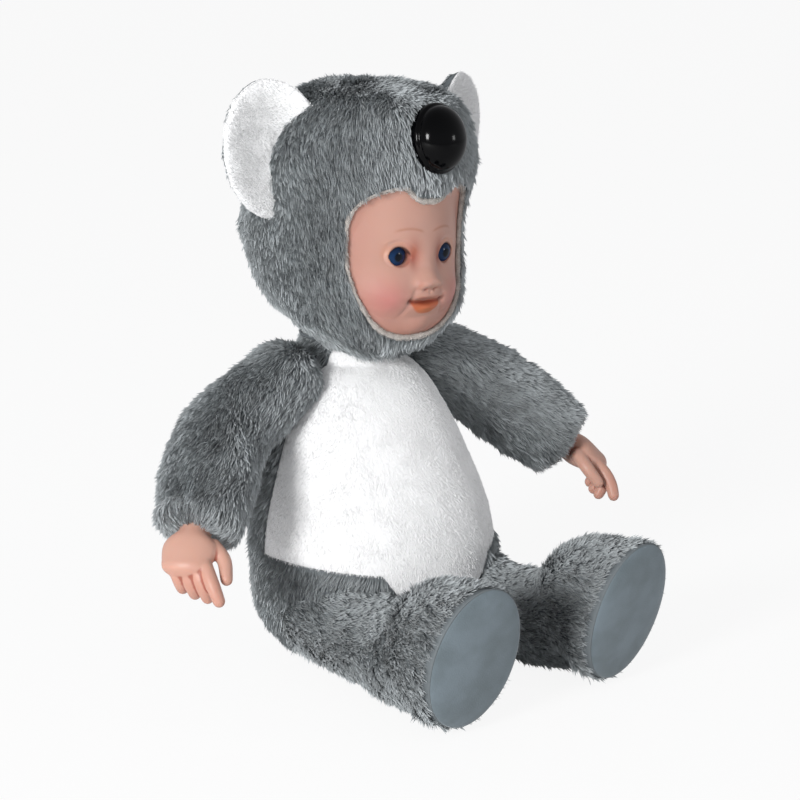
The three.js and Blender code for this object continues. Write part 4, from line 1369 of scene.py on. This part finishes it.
class Kit:
    """What every maker of pieces shares: the pile maker, the materials and their slots."""

    SLOTS = {
        "grey": "grey_plush",
        "grey_backing": "grey_plush",
        "white": "white_plush",
        "white_backing": "white_plush",
        "edge": "hem",
        "hem": "hem",
        "face": "skin_vinyl",
        "skin": "skin_vinyl",
        "eye": "eye",
        "nose": "nose",
        "velour": "suede",
        "fibre": "fibre_fill",
        "cotton": "pouch_cloth",
    }

    def __init__(self) -> None:
        """Make the strands and the materials once."""
        self.piles = PileMaker()
        self.looks = {name: look.material() for name, look in LOOKS.items()}

    def finish(self, piece: Piece, body: str, look: str, *nodes: str) -> None:
        """Finish a piece.

        Args:
            piece: the piece.
            body: the body that it rides.
            look: its look.
            nodes: the frame's nodes that it stands for.
        """
        piece.data.materials.clear()
        piece.data.materials.append(self.looks[look])
        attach(piece, body)
        if nodes:
            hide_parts(*nodes)
        LOG.info("%s rides %s: %d faces", piece.name, body, len(piece.data.polygons))

    def stuff(self, piece: Piece, body: str, look: str, node: str, fill: float) -> None:
        self.finish(piece, body, look, node)

    def fur(self, name: str, skin: Piece, pile: Pile, nap: Point, area: str, look: str, body: str) -> None:
        """Grow a pile on a skin and let it ride that skin's body.

        Args:
            name: the pile's name.
            skin: the piece that it grows on.
            pile: its strands.
            nap: which way they lie.
            area: the face attribute that says where they grow.
            look: its look.
            body: the body that it rides.
        """
        self.finish(self.piles.grow(name, skin, pile, nap, area, self.looks[look]), body, look)


@dataclass
class Torso:
    """The body: grey back, white belly, and what is inside."""

    kit: Kit
    skin: float = 2.6
    wall: float = 1.2
    fill_gap: float = 0.6
    limb_gap: float = 1.4
    seam: float = 0.2
    neck_swell: float = 1.4
    panel_back: float = -8.0
    lowest_root: float = 1.2
    rings: int = 70
    segments: int = 120

    def panel_outline(self, grow: float) -> list[tuple[float, float]]:
        """Return the belly panel's outline seen from the front, grown all round."""
        hip = HIP[2] + HIP_RADIUS
        lower = ((8, 14 - grow), (HIP[0], hip - 5 - grow), (66, hip - grow))
        upper = ((66, 85), (35, 107), (26, 131 + grow))
        right = [(x + grow, z) for x, z in lower + upper]
        return right + [(-x, z) for x, z in reversed(right)]

    def solid(self, name: str, inset: float) -> Piece:
        """Make the body's form with its neck, at an inset."""
        body = skin_piece(name, *TORSO.rings(inset, self.rings, self.segments))
        radius = NECK_RADIUS - inset + self.neck_swell
        return carve(body, ball_piece("neck_ball", NECK, radius, 48), Cut.JOINED)

    def cleared(self, piece: Piece, clear: float) -> Piece:
        """Cut the rooms that the arms and legs stand in, at an inset of those limbs."""
        for side in Side:
            carve(piece, skin_piece("arm_room", *arm_form(side).rings(clear, 16, 40, 8)))
            carve(piece, skin_piece("leg_room", *leg_form(side).rings(clear, 24, 48, 8)))
        return piece

    def build(self) -> None:
        """Make the body's pieces."""
        kit = self.kit
        shell = self.solid("shell", self.skin)
        carve(shell, self.solid("inner", self.skin + self.wall))
        self.cleared(shell, self.limb_gap)
        carve(shell, block_piece("floor_cut", (-FAR, -FAR, -FAR), (FAR, FAR, 0)))
        belly = duplicate(shell, "belly_cover")
        carve(belly, prism_piece("panel", self.panel_outline(0), -FAR, self.panel_back), Cut.SHARED)
        carve(shell, prism_piece("panel", self.panel_outline(self.seam), -FAR, self.panel_back + self.seam))
        shell.name = "back_cover"
        self.mark_panels(shell, belly)
        kit.stuff(shell, "torso", "grey_backing", "back_panel", 0.8)
        kit.stuff(belly, "torso", "white_backing", "belly_panel", 0.8)
        for side in Side:
            word = side.word
            kit.fur(f"back_pile_{word}", shell, GREY_PILE, (0, 0.15, -1), f"pile_{word}", "grey", "torso")
        kit.fur("belly_pile", belly, WHITE_PILE, (0, 0.1, -1), "pile", "white", "torso")
        fill = self.cleared(self.solid("body_fill", self.skin + self.wall + self.fill_gap), 0.2)
        kit.stuff(fill, "torso", "fibre", "torso_fill", 0.7)
        bag = ((0, -0.6, 0), (0.8, -0.6, 0.04), (1, -0.6, 0.4), (0.85, -0.6, 0.85), (0, -0.6, 1))
        pouch_form = Standing(50, 20, 24, 11, bag)
        carve(fill, skin_piece("pouch_room", *pouch_form.rings(-0.3, 20, 40)))
        pouch = skin_piece("seat_pouch", *pouch_form.rings(0, 20, 40))
        kit.stuff(pouch, "torso", "cotton", "bean_pouch", 0.6)

    def mark_panels(self, back: Piece, belly: Piece) -> None:
        """Mark where the two panels carry pile: on the outside, above the floor."""
        limbs = [form(side) for form in (arm_form, leg_form) for side in Side]

        def outside(middles: Rows, normals: Rows) -> Rows:
            """Pick the outer faces that no limb covers."""
            share = share_in_standing(TORSO, middles, self.skin)
            neck = np.linalg.norm(middles - NECK, axis=1)
            out = np.einsum("ij,ij->i", (middles + (0, 10, 0)) * (1, 1, 0), normals) > 0
            free = np.all([share_in_limb(form, middles) > 0.9 for form in limbs], axis=0)
            shown = (share > 0.96) | ((neck > NECK_RADIUS - self.skin - 0.3) & (middles[:, 2] > 122))
            return out & free & shown & (middles[:, 2] > self.lowest_root)

        mark_outside(belly, "pile", outside)
        middles, normals = faces_of(back)
        grown, left = outside(middles, normals), middles[:, 0] >= 0
        mark(back, "pile_left", grown & left, "FACE")
        mark(back, "pile_right", grown & ~left, "FACE")


def headed(parts: Rings) -> Rings:
    """Return rings and poles turned with the head."""
    loops, first, last = parts
    return [put(loop, HEAD) for loop in loops], put(first[None], HEAD)[0], put(last[None], HEAD)[0]


@dataclass
class Head:
    """The hooded head: hood, hem, face and fill, with its eyes, ears and nose."""

    kit: Kit
    skin: float = 1.2
    wall: float = 1.2
    fill: float = 4.8
    nap: Point = (-0.15, -0.3, -0.9)
    rings: int = 80
    segments: int = 132
    hem_radius: float = 1.0
    hem_flatness: float = 0.85
    hem_steps: int = 160
    hem_sides: int = 12
    face_thick: float = 1.8
    face_top: float = 202.8
    face_rings: int = 130
    face_segments: int = 240

    def build(self) -> None:
        """Make the head's pieces."""
        self.build_hood()
        self.build_hem()
        self.build_face()
        for side in Side:
            Eye(self.kit, side).build()
            Ear(self.kit, side).build()
        Nose(self.kit).build()
        self.build_fill()

    def build_hood(self) -> None:
        """Make the hood, open round the face and at the neck, with its pile in four sections."""
        hood = skin_piece("hood_cover", *headed(HOOD.rings(self.skin, self.rings, self.segments)))
        carve(hood, skin_piece("hood_inner", *headed(HOOD.rings(self.skin + self.wall, 40, 64))))
        carve(hood, ball_piece("neck_room", NECK, NECK_RADIUS + 0.6, 48))
        carve(hood, moved(prism_piece("opening", opening_outline(0.6, 96), -FAR, -FACE_RIM_FRONT + 3), HEAD))
        carve(hood, moved(bar_piece("shank_room", 2.6, -20, 3), HEAD, nose_place()))
        back = HEAD.inverted()
        middles, normals = faces_of(hood)
        local = put(middles, back)
        x, y, z = local.T
        tips = put(middles + flow_over(self.nap, normals) * GREY_PILE.length * 0.8, back)
        clear = (tips[:, 1] > -FACE_RIM_FRONT) | (inside_opening(tips[:, 0], tips[:, 2]) < -0.2)
        outer = share_in_standing(HOOD, local, self.skin) > 0.985
        flat = (z > HOOD.base + HOOD.height - self.skin - 1) | (z < HOOD.base + self.skin + 1)
        outward = np.einsum("ij,ij->i", put(middles + normals, back) - local, local - (0, 0, 178)) > 0
        grown = (outer | flat) & outward & clear
        sections = {
            "front_left": (x >= 0) & (y < 0),
            "front_right": (x < 0) & (y < 0),
            "back_left": (x >= 0) & (y >= 0),
            "back_right": (x < 0) & (y >= 0),
        }
        for word, there in sections.items():
            mark(hood, word, grown & there, "FACE")
        self.kit.stuff(hood, "head", "grey_backing", "hood", 0.8)
        for word in sections:
            self.kit.fur(f"hood_pile_{word}", hood, GREY_PILE, self.nap, word, "grey", "head")

    def build_hem(self) -> None:
        """Make the rolled edge round the face, uneven along its length."""
        x, z = opening_outline(0, self.hem_steps).T
        cloth = HOOD.front(x, z)
        sink = np.clip(cloth - face_front(x, z) - 1.2, 1.0, HEM_SINK - 1.2)
        centre = np.stack([x, sink - cloth, z], 1)
        run = np.roll(centre, -1, 0) - np.roll(centre, 1, 0)
        run /= np.linalg.norm(run, axis=1)[:, None]
        inward = np.stack([-x, np.zeros_like(x), FACE_CENTRE - z], 1)
        inward -= run * np.einsum("ij,ij->i", inward, run)[:, None]
        inward /= np.linalg.norm(inward, axis=1)[:, None]
        out = self.hem_flatness * np.cross(run, inward)
        steps = np.arange(self.hem_steps)
        wave = self.hem_radius * (1 + 0.1 * np.sin(steps * 0.9) + 0.07 * np.sin(steps * 2.3 + 1))
        angle = np.arange(self.hem_sides)[:, None] / self.hem_sides * 2 * np.pi
        roll = inward[:, None] * np.cos(angle) + out[:, None] * np.sin(angle)
        points = centre[:, None] + roll * wave[:, None, None]
        grid = np.arange(self.hem_steps * self.hem_sides).reshape(self.hem_steps, self.hem_sides)
        ahead = np.roll(grid, -1, 0)
        faces = np.stack([grid, np.roll(grid, -1, 1), np.roll(ahead, -1, 1), ahead], -1).reshape(-1, 4)
        hem = mesh_piece("face_edging", put(points.reshape(-1, 3), HEAD), faces)
        mark(hem, "pile", np.ones(len(faces)), "FACE")
        self.kit.finish(hem, "head", "hem", "face_hem")
        self.kit.fur("edging_pile", hem, EDGE_PILE, (0.0, -0.6, -0.4), "pile", "edge", "head")

    def build_face(self) -> None:
        """Make the vinyl face, its edge tucked in behind the hem."""

        def outline(share: Rows, angle: Rows) -> tuple[Rows, Rows]:
            """Return X and Z at a share of the way from the middle to the edge."""
            x, z = face_edge(angle, FACE_RIM)
            return share * x, FACE_CENTRE + share * (z - FACE_CENTRE)

        def held(x: Rows, z: Rows, relief: Rows) -> Rows:
            """Bring the mask up to the hem, and keep it behind the hood's cloth past it."""
            edge = inside_opening(x, z)
            cloth = HOOD.front(x, z)
            near = np.maximum(relief, cloth - HEM_SINK)
            shown = relief + (near - relief) * (1 - smooth(1, 8, edge))
            hidden = np.minimum(shown, cloth - self.skin - self.wall - 0.4)
            tuck = 1 - smooth(-0.6, 0.8, edge)
            return shown * (1 - tuck) + hidden * tuck

        def front(rows: Rows) -> Rows:
            """Return Y on the front."""
            x, z, _ = rows.T
            return -np.maximum(held(x, z, face_relief(x, z)), FACE_RIM_FRONT)

        def back(rows: Rows) -> Rows:
            """Return Y on the back."""
            x, z, _ = rows.T
            relief = np.minimum(face_relief(x, z), face_front(x, z))
            return -np.maximum(held(x, z, relief) - self.face_thick, FACE_RIM_FRONT - 0.6)

        points, faces = plate_data(self.face_rings, self.face_segments, outline, front, back)
        mask = mesh_piece("doll_face", put(points, HEAD), faces)
        paint(mask, "spray", spray_face(points))
        self.kit.finish(mask, "head", "face", "face_mask")

    def build_fill(self) -> None:
        """Make the fill, clear of the neck, the face and the nose's washer."""
        fill = skin_piece("head_stuffing", *headed(HOOD.rings(self.fill, 30, 48)))
        carve(fill, ball_piece("neck_room", NECK, NECK_RADIUS + 2.4, 40))
        front = block_piece("front_room", (-FAR, -FAR, -FAR), (FAR, -FACE_RIM_FRONT + 0.3, self.face_top))
        carve(fill, moved(front, HEAD))
        carve(fill, moved(bar_piece("washer_room", 7.3, -9, 20), HEAD, nose_place()))
        self.kit.stuff(fill, "head", "fibre", "head_fill", 0.7)


@dataclass
class Eye:
    """A gloss eyeball with a printed iris, cut off behind."""

    kit: Kit
    side: Side
    depth: float = 2.6
    steps: int = 128
    spokes: int = 26

    def centre(self) -> Rows:
        """Return the eyeball's middle, with the head leaned."""
        x, z = self.side.value * EYE_X, EYE_Z
        y = -(float(face_front(np.array([x]), np.array([z]))[0]) + EYE_PROUD - EYE_RADIUS)
        return put(np.array([[x, y, z]]), HEAD)[0]

    def build(self) -> None:
        """Make the eye: white, then the iris by degrees from where it looks, then the lid's shadow."""
        word, centre = self.side.word, self.centre()
        eye = ball_piece(f"{word}_eyeball", centre, EYE_RADIUS, self.steps)
        look = np.array(HEAD.to_3x3() @ Vector((self.side.value * 0.1, -1.0, 0.0)).normalized())
        points = points_of(eye) - centre
        off = np.degrees(np.arccos(np.clip(points @ look / EYE_RADIUS, -1, 1)))
        around = np.arctan2(points[:, 2], points[:, 0])
        spray = Spray("c9ccd2", len(points))
        spray.coat("0a1730", 1 - smooth(52, 55, off))
        spray.coat("173a60", (1 - smooth(36, 46, off)) * (0.65 + 0.15 * np.sin(around * self.spokes)))
        spray.coat("102a52", bell((off - 26) / 7) * 0.6)
        spray.coat("02040a", 0.95 * (1 - smooth(13, 21, off)))
        spray.coat("0a1020", smooth(0.5, 3.4, points[:, 2]) * 0.6)
        paint(eye, "spray", spray.colour)
        carve(eye, block_piece("eye_cut", (-FAR, centre[1] + self.depth, -FAR), (FAR, FAR, FAR)))
        self.kit.finish(eye, "head", "eye", f"{word}_eye")


@dataclass
class Nose:
    """The animal nose on the hood: a domed button on a flat rim, with its shank."""

    kit: Kit
    wide: float = 12.3
    tall: float = 13.8
    thick: float = 9.6
    rim: float = 2.4
    sink: float = 1.5
    rings: int = 40
    segments: int = 72

    def build(self) -> None:
        """Make the nose from rings that follow the hood's bend."""
        rim = self.rim
        stops = [(1.0, -self.sink), (1.0, -0.4), (1.015, 0.4), (1.0, rim * 0.8), (0.965, rim)]
        stops.append((0.93, rim + 0.1))
        for k in range(1, self.rings):
            turn = k / self.rings * math.pi / 2
            stops.append((0.92 * math.cos(turn), rim + 0.1 + (self.thick - rim) * math.sin(turn) ** 0.9))
        angles = np.arange(self.segments) / self.segments * 2 * np.pi
        loops = []
        for share, height in stops:
            x, y = self.wide * share * np.cos(angles), self.tall * share * np.sin(angles)
            loops.append(np.stack([x, y, height - (x**2) / 95 - (y**2) / 110], 1))
        low, high = np.array([0, 0, -self.sink]), np.array([0, 0, self.thick + 0.1])
        nose = skin_piece("animal_nose", loops, low, high)
        carve(nose, bar_piece("shank", 2.2, -7.6, 0), Cut.JOINED)
        self.kit.finish(moved(nose, HEAD, nose_place()), "head", "nose", "nose")


def bar_piece(name: str, radius: float, from_z: float, to_z: float, steps: int = 40) -> Piece:
    """Make a round bar along Z."""
    angles = np.arange(steps) / steps * 2 * np.pi
    ends = (from_z, to_z)
    loops = [np.stack([radius * np.cos(angles), radius * np.sin(angles), np.full(steps, z)], 1) for z in ends]
    return skin_piece(name, loops, np.array([0, 0, from_z]), np.array([0, 0, to_z]))


def nose_place() -> Matrix:
    """Return where the nose sits on the upright hood, its own Z pointing out."""
    step, height = 2.0, 217.0
    below, front, above = HOOD.front(np.zeros(3), height + np.array([-step, 0, step]))
    tip = math.atan((below - above) / (2 * step))
    return Matrix.Translation((0, -front, height)) @ Matrix.Rotation(math.pi / 2 - tip, 4, "X")


@dataclass
class Ear:
    """An ear: a white front and a grey back, each a stuffed plate with its own pile."""

    kit: Kit
    side: Side
    half_width: float = 19.8
    half_height: float = 27.8
    lean: float = math.radians(12)
    turn: float = math.radians(10)
    root: Point = (46, 7, 208)
    puff: float = 3.2
    rings: int = 34
    segments: int = 96

    def place(self) -> Matrix:
        """Return where the ear's own frame stands on the head."""
        turn = Matrix.Rotation(self.side.value * self.turn, 4, "Z")
        return HEAD @ (Matrix.Translation(mirrored(self.root, self.side)) @ turn)

    def outline(self, share: Rows, angle: Rows) -> tuple[Rows, Rows]:
        """Return X and Z in the ear's own frame at a share and an angle."""
        across, up = share * self.half_width * np.sin(angle), share * self.half_height * np.cos(angle)
        x = across * math.cos(self.lean) + up * math.sin(self.lean)
        return self.side.value * x, up * math.cos(self.lean) - across * math.sin(self.lean)

    def sheets(self, face: int) -> tuple[Field, Field]:
        """Return the front and back surfaces of one side of the ear.

        Args:
            face: 1 for the ear's front side and -1 for its back side.

        Returns:
            What gives Y on the plate's front, and what gives Y on its back.
        """

        def middle(rows: Rows) -> Rows:
            """Return Y between the two sides: cupped, with the upper inner corner curled forward."""
            x, z, share = rows.T
            inward_up = np.maximum(0, (z / 58 - self.side.value * x / 42) * 1.4 - 0.3)
            return -5 * share**2 - 20 * inward_up**2

        def outside(rows: Rows) -> Rows:
            """Return Y on the puffed outside."""
            return middle(rows) - face * (0.5 + self.puff * np.sqrt(np.maximum(1 - rows[:, 2] ** 4, 0)))

        def inside(rows: Rows) -> Rows:
            """Return Y where the two sides meet."""
            return middle(rows) - face * 0.15

        return (outside, inside) if face > 0 else (inside, outside)

    def build(self) -> None:
        """Make both sides of the ear."""
        word, body = self.side.word, f"{self.side.word}_ear"
        sides = (
            ("front", 1, -0.6, "white", EAR_WHITE_PILE, (self.side.value * 0.8, 0.0, 0.5)),
            ("back", -1, 0.6, "grey", EAR_GREY_PILE, (-self.side.value * 0.3, 0.1, -1.0)),
        )
        for part, face, least, look, pile, nap in sides:
            points, faces = plate_data(self.rings, self.segments, self.outline, *self.sheets(face))
            ear = mesh_piece(f"{word}_ear_{part}_cover", put(points, self.place()), faces)
            carve(ear, skin_piece("ear_room", *headed(HOOD.rings(0.4, 60, 96))))
            forward = np.array(self.place().to_3x3()) @ np.array([0.0, -face, 0.0])
            mark(ear, "pile", faces_of(ear)[1] @ forward > least, "FACE")
            self.kit.stuff(ear, body, f"{look}_backing", f"{word}_ear_{part}", 0.5)
            self.kit.fur(f"{word}_ear_{part}_pile", ear, pile, nap, "pile", look, body)


@dataclass
class Arm:
    """An arm: sleeve, its fill, and the hand that it ends in."""

    kit: Kit
    side: Side
    skin: float = 2.6
    wall: float = 1.2
    fill_gap: float = 0.5
    shoulder: float = 17.6
    shoulder_line: tuple[Point, Point] = ((38, -2, 116), (69, -5, 98.5))
    mouth_room: float = 7.2

    def __post_init__(self) -> None:
        """Work out the arm's form, and its cloth's, which is fuller and higher at the shoulder."""
        self.form = arm_form(self.side)
        full = ((0, self.shoulder, self.shoulder), *self.form.girth[1:])
        raised = (*[mirrored(point, self.side) for point in self.shoulder_line], self.form.points[2])
        self.cloth = replace(self.form, points=raised, girth=full, start_cap=self.shoulder)

    def build(self) -> None:
        """Make the arm's pieces."""
        kit, form, word = self.kit, self.form, self.side.word
        sleeve = skin_piece(f"{word}_sleeve_cover", *self.cloth.rings(self.skin, 60, 80, 14))
        carve(sleeve, skin_piece("inner", *self.cloth.rings(self.skin + self.wall, 30, 48, 8)))
        wrist = self.wrist()
        carve(sleeve, moved(bar_piece("wrist_room", 6.8, -9, 9), wrist))
        line = Curve(self.cloth.points).fine(40)
        mouth = np.array(wrist.translation)
        run = Curve(form.points).tangent(1)

        def outside(middles: Rows, normals: Rows) -> Rows:
            """Pick the outer faces, clear of the body and of the sleeve's mouth."""
            radial = middles - mouth - np.outer((middles - mouth) @ run, run)
            near_mouth = (np.linalg.norm(radial, axis=1) < self.mouth_room) & ((middles - mouth) @ run > -3)
            free = share_in_standing(TORSO, middles, self.skin) > 0.97
            return faces_away(line, middles, normals) & free & ~near_mouth

        mark_outside(sleeve, "pile", outside)
        kit.stuff(sleeve, f"{word}_arm", "grey_backing", f"{word}_sleeve", 0.8)
        nap = tuple(float(c) for c in (np.array(form.points[2]) - np.array(form.points[0])))
        kit.fur(f"{word}_sleeve_pile", sleeve, GREY_PILE, nap, "pile", "grey", f"{word}_arm")
        rings = form.rings(self.skin + self.wall + self.fill_gap, 24, 40, 8)
        fill = skin_piece(f"{word}_arm_stuffing", *rings)
        carve(fill, moved(bar_piece("plug_room", 8.4, -9, 12.4), wrist))
        kit.stuff(fill, f"{word}_arm", "fibre", f"{word}_arm_fill", 0.7)
        Hand(kit, self.side, wrist).build()

    def wrist(self) -> Matrix:
        """Return the wrist's place: origin at the sleeve's mouth, fingers down -Z."""
        line = Curve(self.form.points)
        run = Vector(line.tangent(1))
        mouth = Vector(line.at(1)) + run * (self.form.end_cap - 1.5)
        turn = Vector((0, 0, -1)).rotation_difference(run)
        return Matrix.Translation(mouth) @ turn.to_matrix().to_4x4()


@dataclass
class Hand:
    """A moulded hand: palm, curled fingers, thumb and the plug that the wrist tie holds."""

    kit: Kit
    side: Side
    wrist: Matrix
    turn: float = math.radians(32)
    digit_radius: float = 3.0
    digit_tip: float = 0.82
    knuckles: float = -12.5
    fingers: tuple[tuple[float, ...], ...] = (
        (-6.6, 15.5, 52, 0.6),
        (-2.3, 15.5, 92, 0.62),
        (1.7, 14.5, 100, 0.56),
        (5.5, 12.5, 104, 0.5),
    )
    voxel: float = 0.5
    softening: int = 12

    def digit(self, name: str, points: Sequence[Point]) -> Piece:
        """Make a finger or the thumb along a line of points."""
        radius, middle, tip = self.digit_radius, self.digit_radius * 0.94, self.digit_radius * self.digit_tip
        girth = ((0, radius, radius), (0.6, middle, middle), (1, tip, tip))
        form = Limb(tuple(points), girth, (0, 1, 0), radius, radius * 0.85)
        return skin_piece(name, *form.rings(0, 20, 24, 8))

    def finger(self, across: float, length: float, curl: float, slant: float) -> list[Point]:
        """Return the line of a finger.

        Args:
            across: where it starts across the palm.
            length: its length along the bend.
            curl: how far it bends, in degrees.
            slant: how far it leans towards the thumb, as a share of its reach.

        Returns:
            Six points from the knuckle to the tip.
        """
        bend = math.radians(curl)
        radius = length / bend
        reach = [radius * math.sin(bend * k / 5) for k in range(6)]
        rise = [-self.side.value * radius * (1 - math.cos(bend * k / 5)) for k in range(6)]
        return [(x, across - slant * run, self.knuckles - run) for x, run in zip(rise, reach)]

    def build(self) -> None:
        """Make the hand: its parts joined, evened out, and darker in the creases as painted shade."""
        word, inward = self.side.word, -self.side.value
        palm_line = ((0, 0, -1), (0, 0, -8), (0, 0, -15))
        palm_form = Limb(palm_line, ((0, 6.4, 6.4), (0.45, 6.6, 11), (1, 5.0, 9.6)), (0, 1, 0), 2, 5)
        hand = skin_piece(f"{word}_vinyl_hand", *palm_form.rings(0, 20, 40, 6))
        for sizes in self.fingers:
            carve(hand, self.digit("finger", self.finger(*sizes)), Cut.JOINED)
        thumb = ((inward, -8.5, -4.5), (inward * 3, -13.4, -9.5), (inward * 5.5, -15.6, -16.5))
        carve(hand, self.digit("thumb", thumb), Cut.JOINED)
        carve(hand, bar_piece("plug", 6.4, -4, 12), Cut.JOINED)
        step = hand.modifiers.new("even", "REMESH")
        step.mode = "VOXEL"
        step.voxel_size = self.voxel * MM
        step = hand.modifiers.new("soften", "SMOOTH")
        step.factor = 0.5
        step.iterations = self.softening
        baked(hand)
        local = points_of(hand)
        spray = Spray("c99c8b", len(local))
        spray.coat("bd806f", 0.3 * bell(np.maximum(0, local[:, 2] + 23) / 5))
        # Painted shade in the creases between the fingers and thumb.
        spray.coat("974a39", 0.8 * smooth(0.001, 0.014, hollows(hand, 6)))
        paint(hand, "spray", spray.colour)
        moved(hand, self.wrist @ Matrix.Rotation(-self.side.value * self.turn, 4, "Z"))
        for face in hand.data.polygons:
            face.use_smooth = True
        self.kit.finish(hand, f"{word}_hand", "skin", f"{word}_hand")


@dataclass
class Leg:
    """A leg with its foot: cover, sole and fill."""

    kit: Kit
    side: Side
    skin: float = 2.6
    wall: float = 1.2
    fill_gap: float = 0.5
    sole_inset: float = 3.0
    sole_steps: int = 72

    def sole_cutter(self) -> Piece:
        """Make the oval block that parts the sole from the foot."""
        turn = np.arange(self.sole_steps) / self.sole_steps * 2 * np.pi
        half_width, half_height = FOOT_WIDTH / 2 - self.sole_inset, FOOT_HEIGHT / 2 - self.sole_inset
        oval = np.stack([half_width * np.sin(turn), half_height * np.cos(turn)], 1)
        form = leg_form(self.side)
        facing = Vector((0, -1, 0)).rotation_difference(Vector(form.end_face)).to_matrix().to_4x4()
        place = Matrix.Translation(Vector(form.points[-1])) @ facing
        return moved(prism_piece("sole_cut", oval, -60, 0), place)

    def build(self) -> None:
        """Make the leg's pieces."""
        kit, form, word = self.kit, leg_form(self.side), self.side.word
        body = f"{word}_leg"
        cover = skin_piece(f"{word}_leg_skin", *form.rings(self.skin, 90, 96, 14))
        carve(cover, block_piece("floor_cut", (-FAR, -FAR, -FAR), (FAR, FAR, 0.2)))
        carve(cover, skin_piece("inner", *form.rings(self.skin + self.wall, 40, 56, 8)))
        sole_cut = self.sole_cutter()
        sole = duplicate(cover, f"{word}_foot_sole")
        carve(sole, sole_cut, Cut.SHARED, keep=True)
        carve(cover, sole_cut)
        face, end = np.array(form.end_face), np.array(form.points[-1])
        line = Curve(form.points).fine(60)
        nap = (self.side.value * 0.12, -1.0, 0.12)

        def outside(middles: Rows, normals: Rows) -> Rows:
            """Pick the outer faces whose strands stop short of the sole."""
            ahead = (middles - end + flow_over(nap, normals) * LEG_PILE.length * 0.85) @ face
            free = share_in_standing(TORSO, middles, self.skin) > 0.97
            return faces_away(line, middles, normals) & free & (middles[:, 2] > 1.0) & (ahead < -0.2)

        mark_outside(cover, "pile", outside)
        kit.stuff(cover, body, "grey_backing", f"{word}_leg_cover", 0.8)
        kit.fur(f"{word}_leg_pile", cover, LEG_PILE, nap, "pile", "grey", body)
        kit.stuff(sole, body, "velour", f"{word}_sole", 0.8)
        rings = form.rings(self.skin + self.wall + self.fill_gap, 30, 40, 8)
        fill = skin_piece(f"{word}_leg_stuffing", *rings)
        carve(fill, block_piece("floor_cut", (-FAR, -FAR, -FAR), (FAR, FAR, 1.8)))
        kit.stuff(fill, body, "fibre", f"{word}_leg_fill", 0.7)


def dress_inside(kit: Kit, nodes: dict[str, Piece]) -> None:
    """Give the carried-over parts inside the doll their materials."""
    endings = {"stitching": "thread", "wrist_tie": "tie", "nose_washer": "washer"}
    for name, node in nodes.items():
        for ending, look in endings.items():
            if name.endswith(ending):
                node.data.materials.clear()
                node.data.materials.append(kit.looks[look])


# Set


def make_world() -> None:
    """Light the scene from all round, and show plain white behind it."""
    world = bpy.data.worlds.new("studio")
    bpy.context.scene.world = world
    world.use_nodes = True
    world.node_tree.nodes.clear()
    add = partial(add_node, world.node_tree)
    way = add("ShaderNodeTexCoord", out="Generated")
    height = add("ShaderNodeSeparateXYZ", (way,), 2)
    power = add(RANGE, (height, 0.2, 1.0, 0.54, 0.36))
    soft = add("ShaderNodeBackground", {"Color": srgb("f6f7fa"), "Strength": power})
    white = add("ShaderNodeBackground", {"Color": (1, 1, 1, 1), "Strength": 1.0})
    seen = add("ShaderNodeLightPath", out="Is Camera Ray")
    both = add("ShaderNodeMixShader", (seen, soft, white))
    add("ShaderNodeOutputWorld", (both,))


def make_light(name: str, place: Point, size: float, power: float) -> None:
    """Hang a square soft box that looks at the doll.

    Args:
        name: its name.
        place: where it hangs, in metres.
        size: its side, in metres.
        power: its power in watts.
    """
    light = bpy.data.lights.new(name, "AREA")
    light.size = size
    light.energy = power
    lamp = bpy.data.objects.new(name, light)
    lamp.location = place
    lamp.rotation_euler = (Vector((0, 0, 0.12)) - Vector(place)).to_track_quat("-Z", "Y").to_euler()
    bpy.context.scene.collection.objects.link(lamp)


def make_floor() -> None:
    """Lay a plain pale floor."""
    floor = block_piece("floor", (-4000, -4000, -12), (4000, 4000, -0.2))
    material = PAPER.material()
    nodes = material.node_tree.nodes
    add = partial(add_node, material.node_tree)
    white = add("ShaderNodeEmission", {"Color": (1, 1, 1, 1), "Strength": 1.0})
    seen = add("ShaderNodeLightPath", out="Is Camera Ray")
    share = add(MATH, (seen, 0.9), operation="MULTIPLY")
    both = add("ShaderNodeMixShader", (share, nodes["Principled BSDF"].outputs[0], white))
    material.node_tree.links.new(both, nodes["Material Output"].inputs[0])
    floor.data.materials.append(material)


def make_camera() -> None:
    """Stand the camera where the photograph was taken from."""
    azimuth, elevation, reach, view_width = math.radians(40), math.radians(14.5), 1.0, 0.33
    target = Vector((0, 0, 0.105))
    level = math.cos(elevation)
    back = Vector((-math.sin(azimuth) * level, -math.cos(azimuth) * level, math.sin(elevation)))
    camera = bpy.data.cameras.new("camera")
    camera.sensor_width = 36
    camera.lens = camera.sensor_width * reach / view_width
    camera.shift_x, camera.shift_y = 50 / 800, -8 / 800
    camera.clip_start = 0.01
    camera.dof.use_dof = False
    holder = bpy.data.objects.new("camera", camera)
    holder.location = target + back * reach
    holder.rotation_euler = (-back).to_track_quat("-Z", "Y").to_euler()
    bpy.context.scene.collection.objects.link(holder)
    bpy.context.scene.camera = holder


def main() -> None:
    """Build the doll's looks and its set."""
    logging.basicConfig(level=logging.INFO, format="%(message)s")
    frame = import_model()
    scene = bpy.context.scene
    scene.view_settings.view_transform = "Standard"
    make_camera()
    make_world()
    make_light("key", (-1.57, -0.5, 0.6), 0.4, 24)
    make_light("fill", (0.95, -1.45, 0.42), 0.25, 2.2)
    kit = Kit()
    Torso(kit).build()
    Head(kit).build()
    for side in Side:
        Arm(kit, side).build()
        Leg(kit, side).build()
    dress_inside(kit, frame["nodes"])
    kit.piles.clear()
    make_floor()


if __name__ == "__main__":
    main()
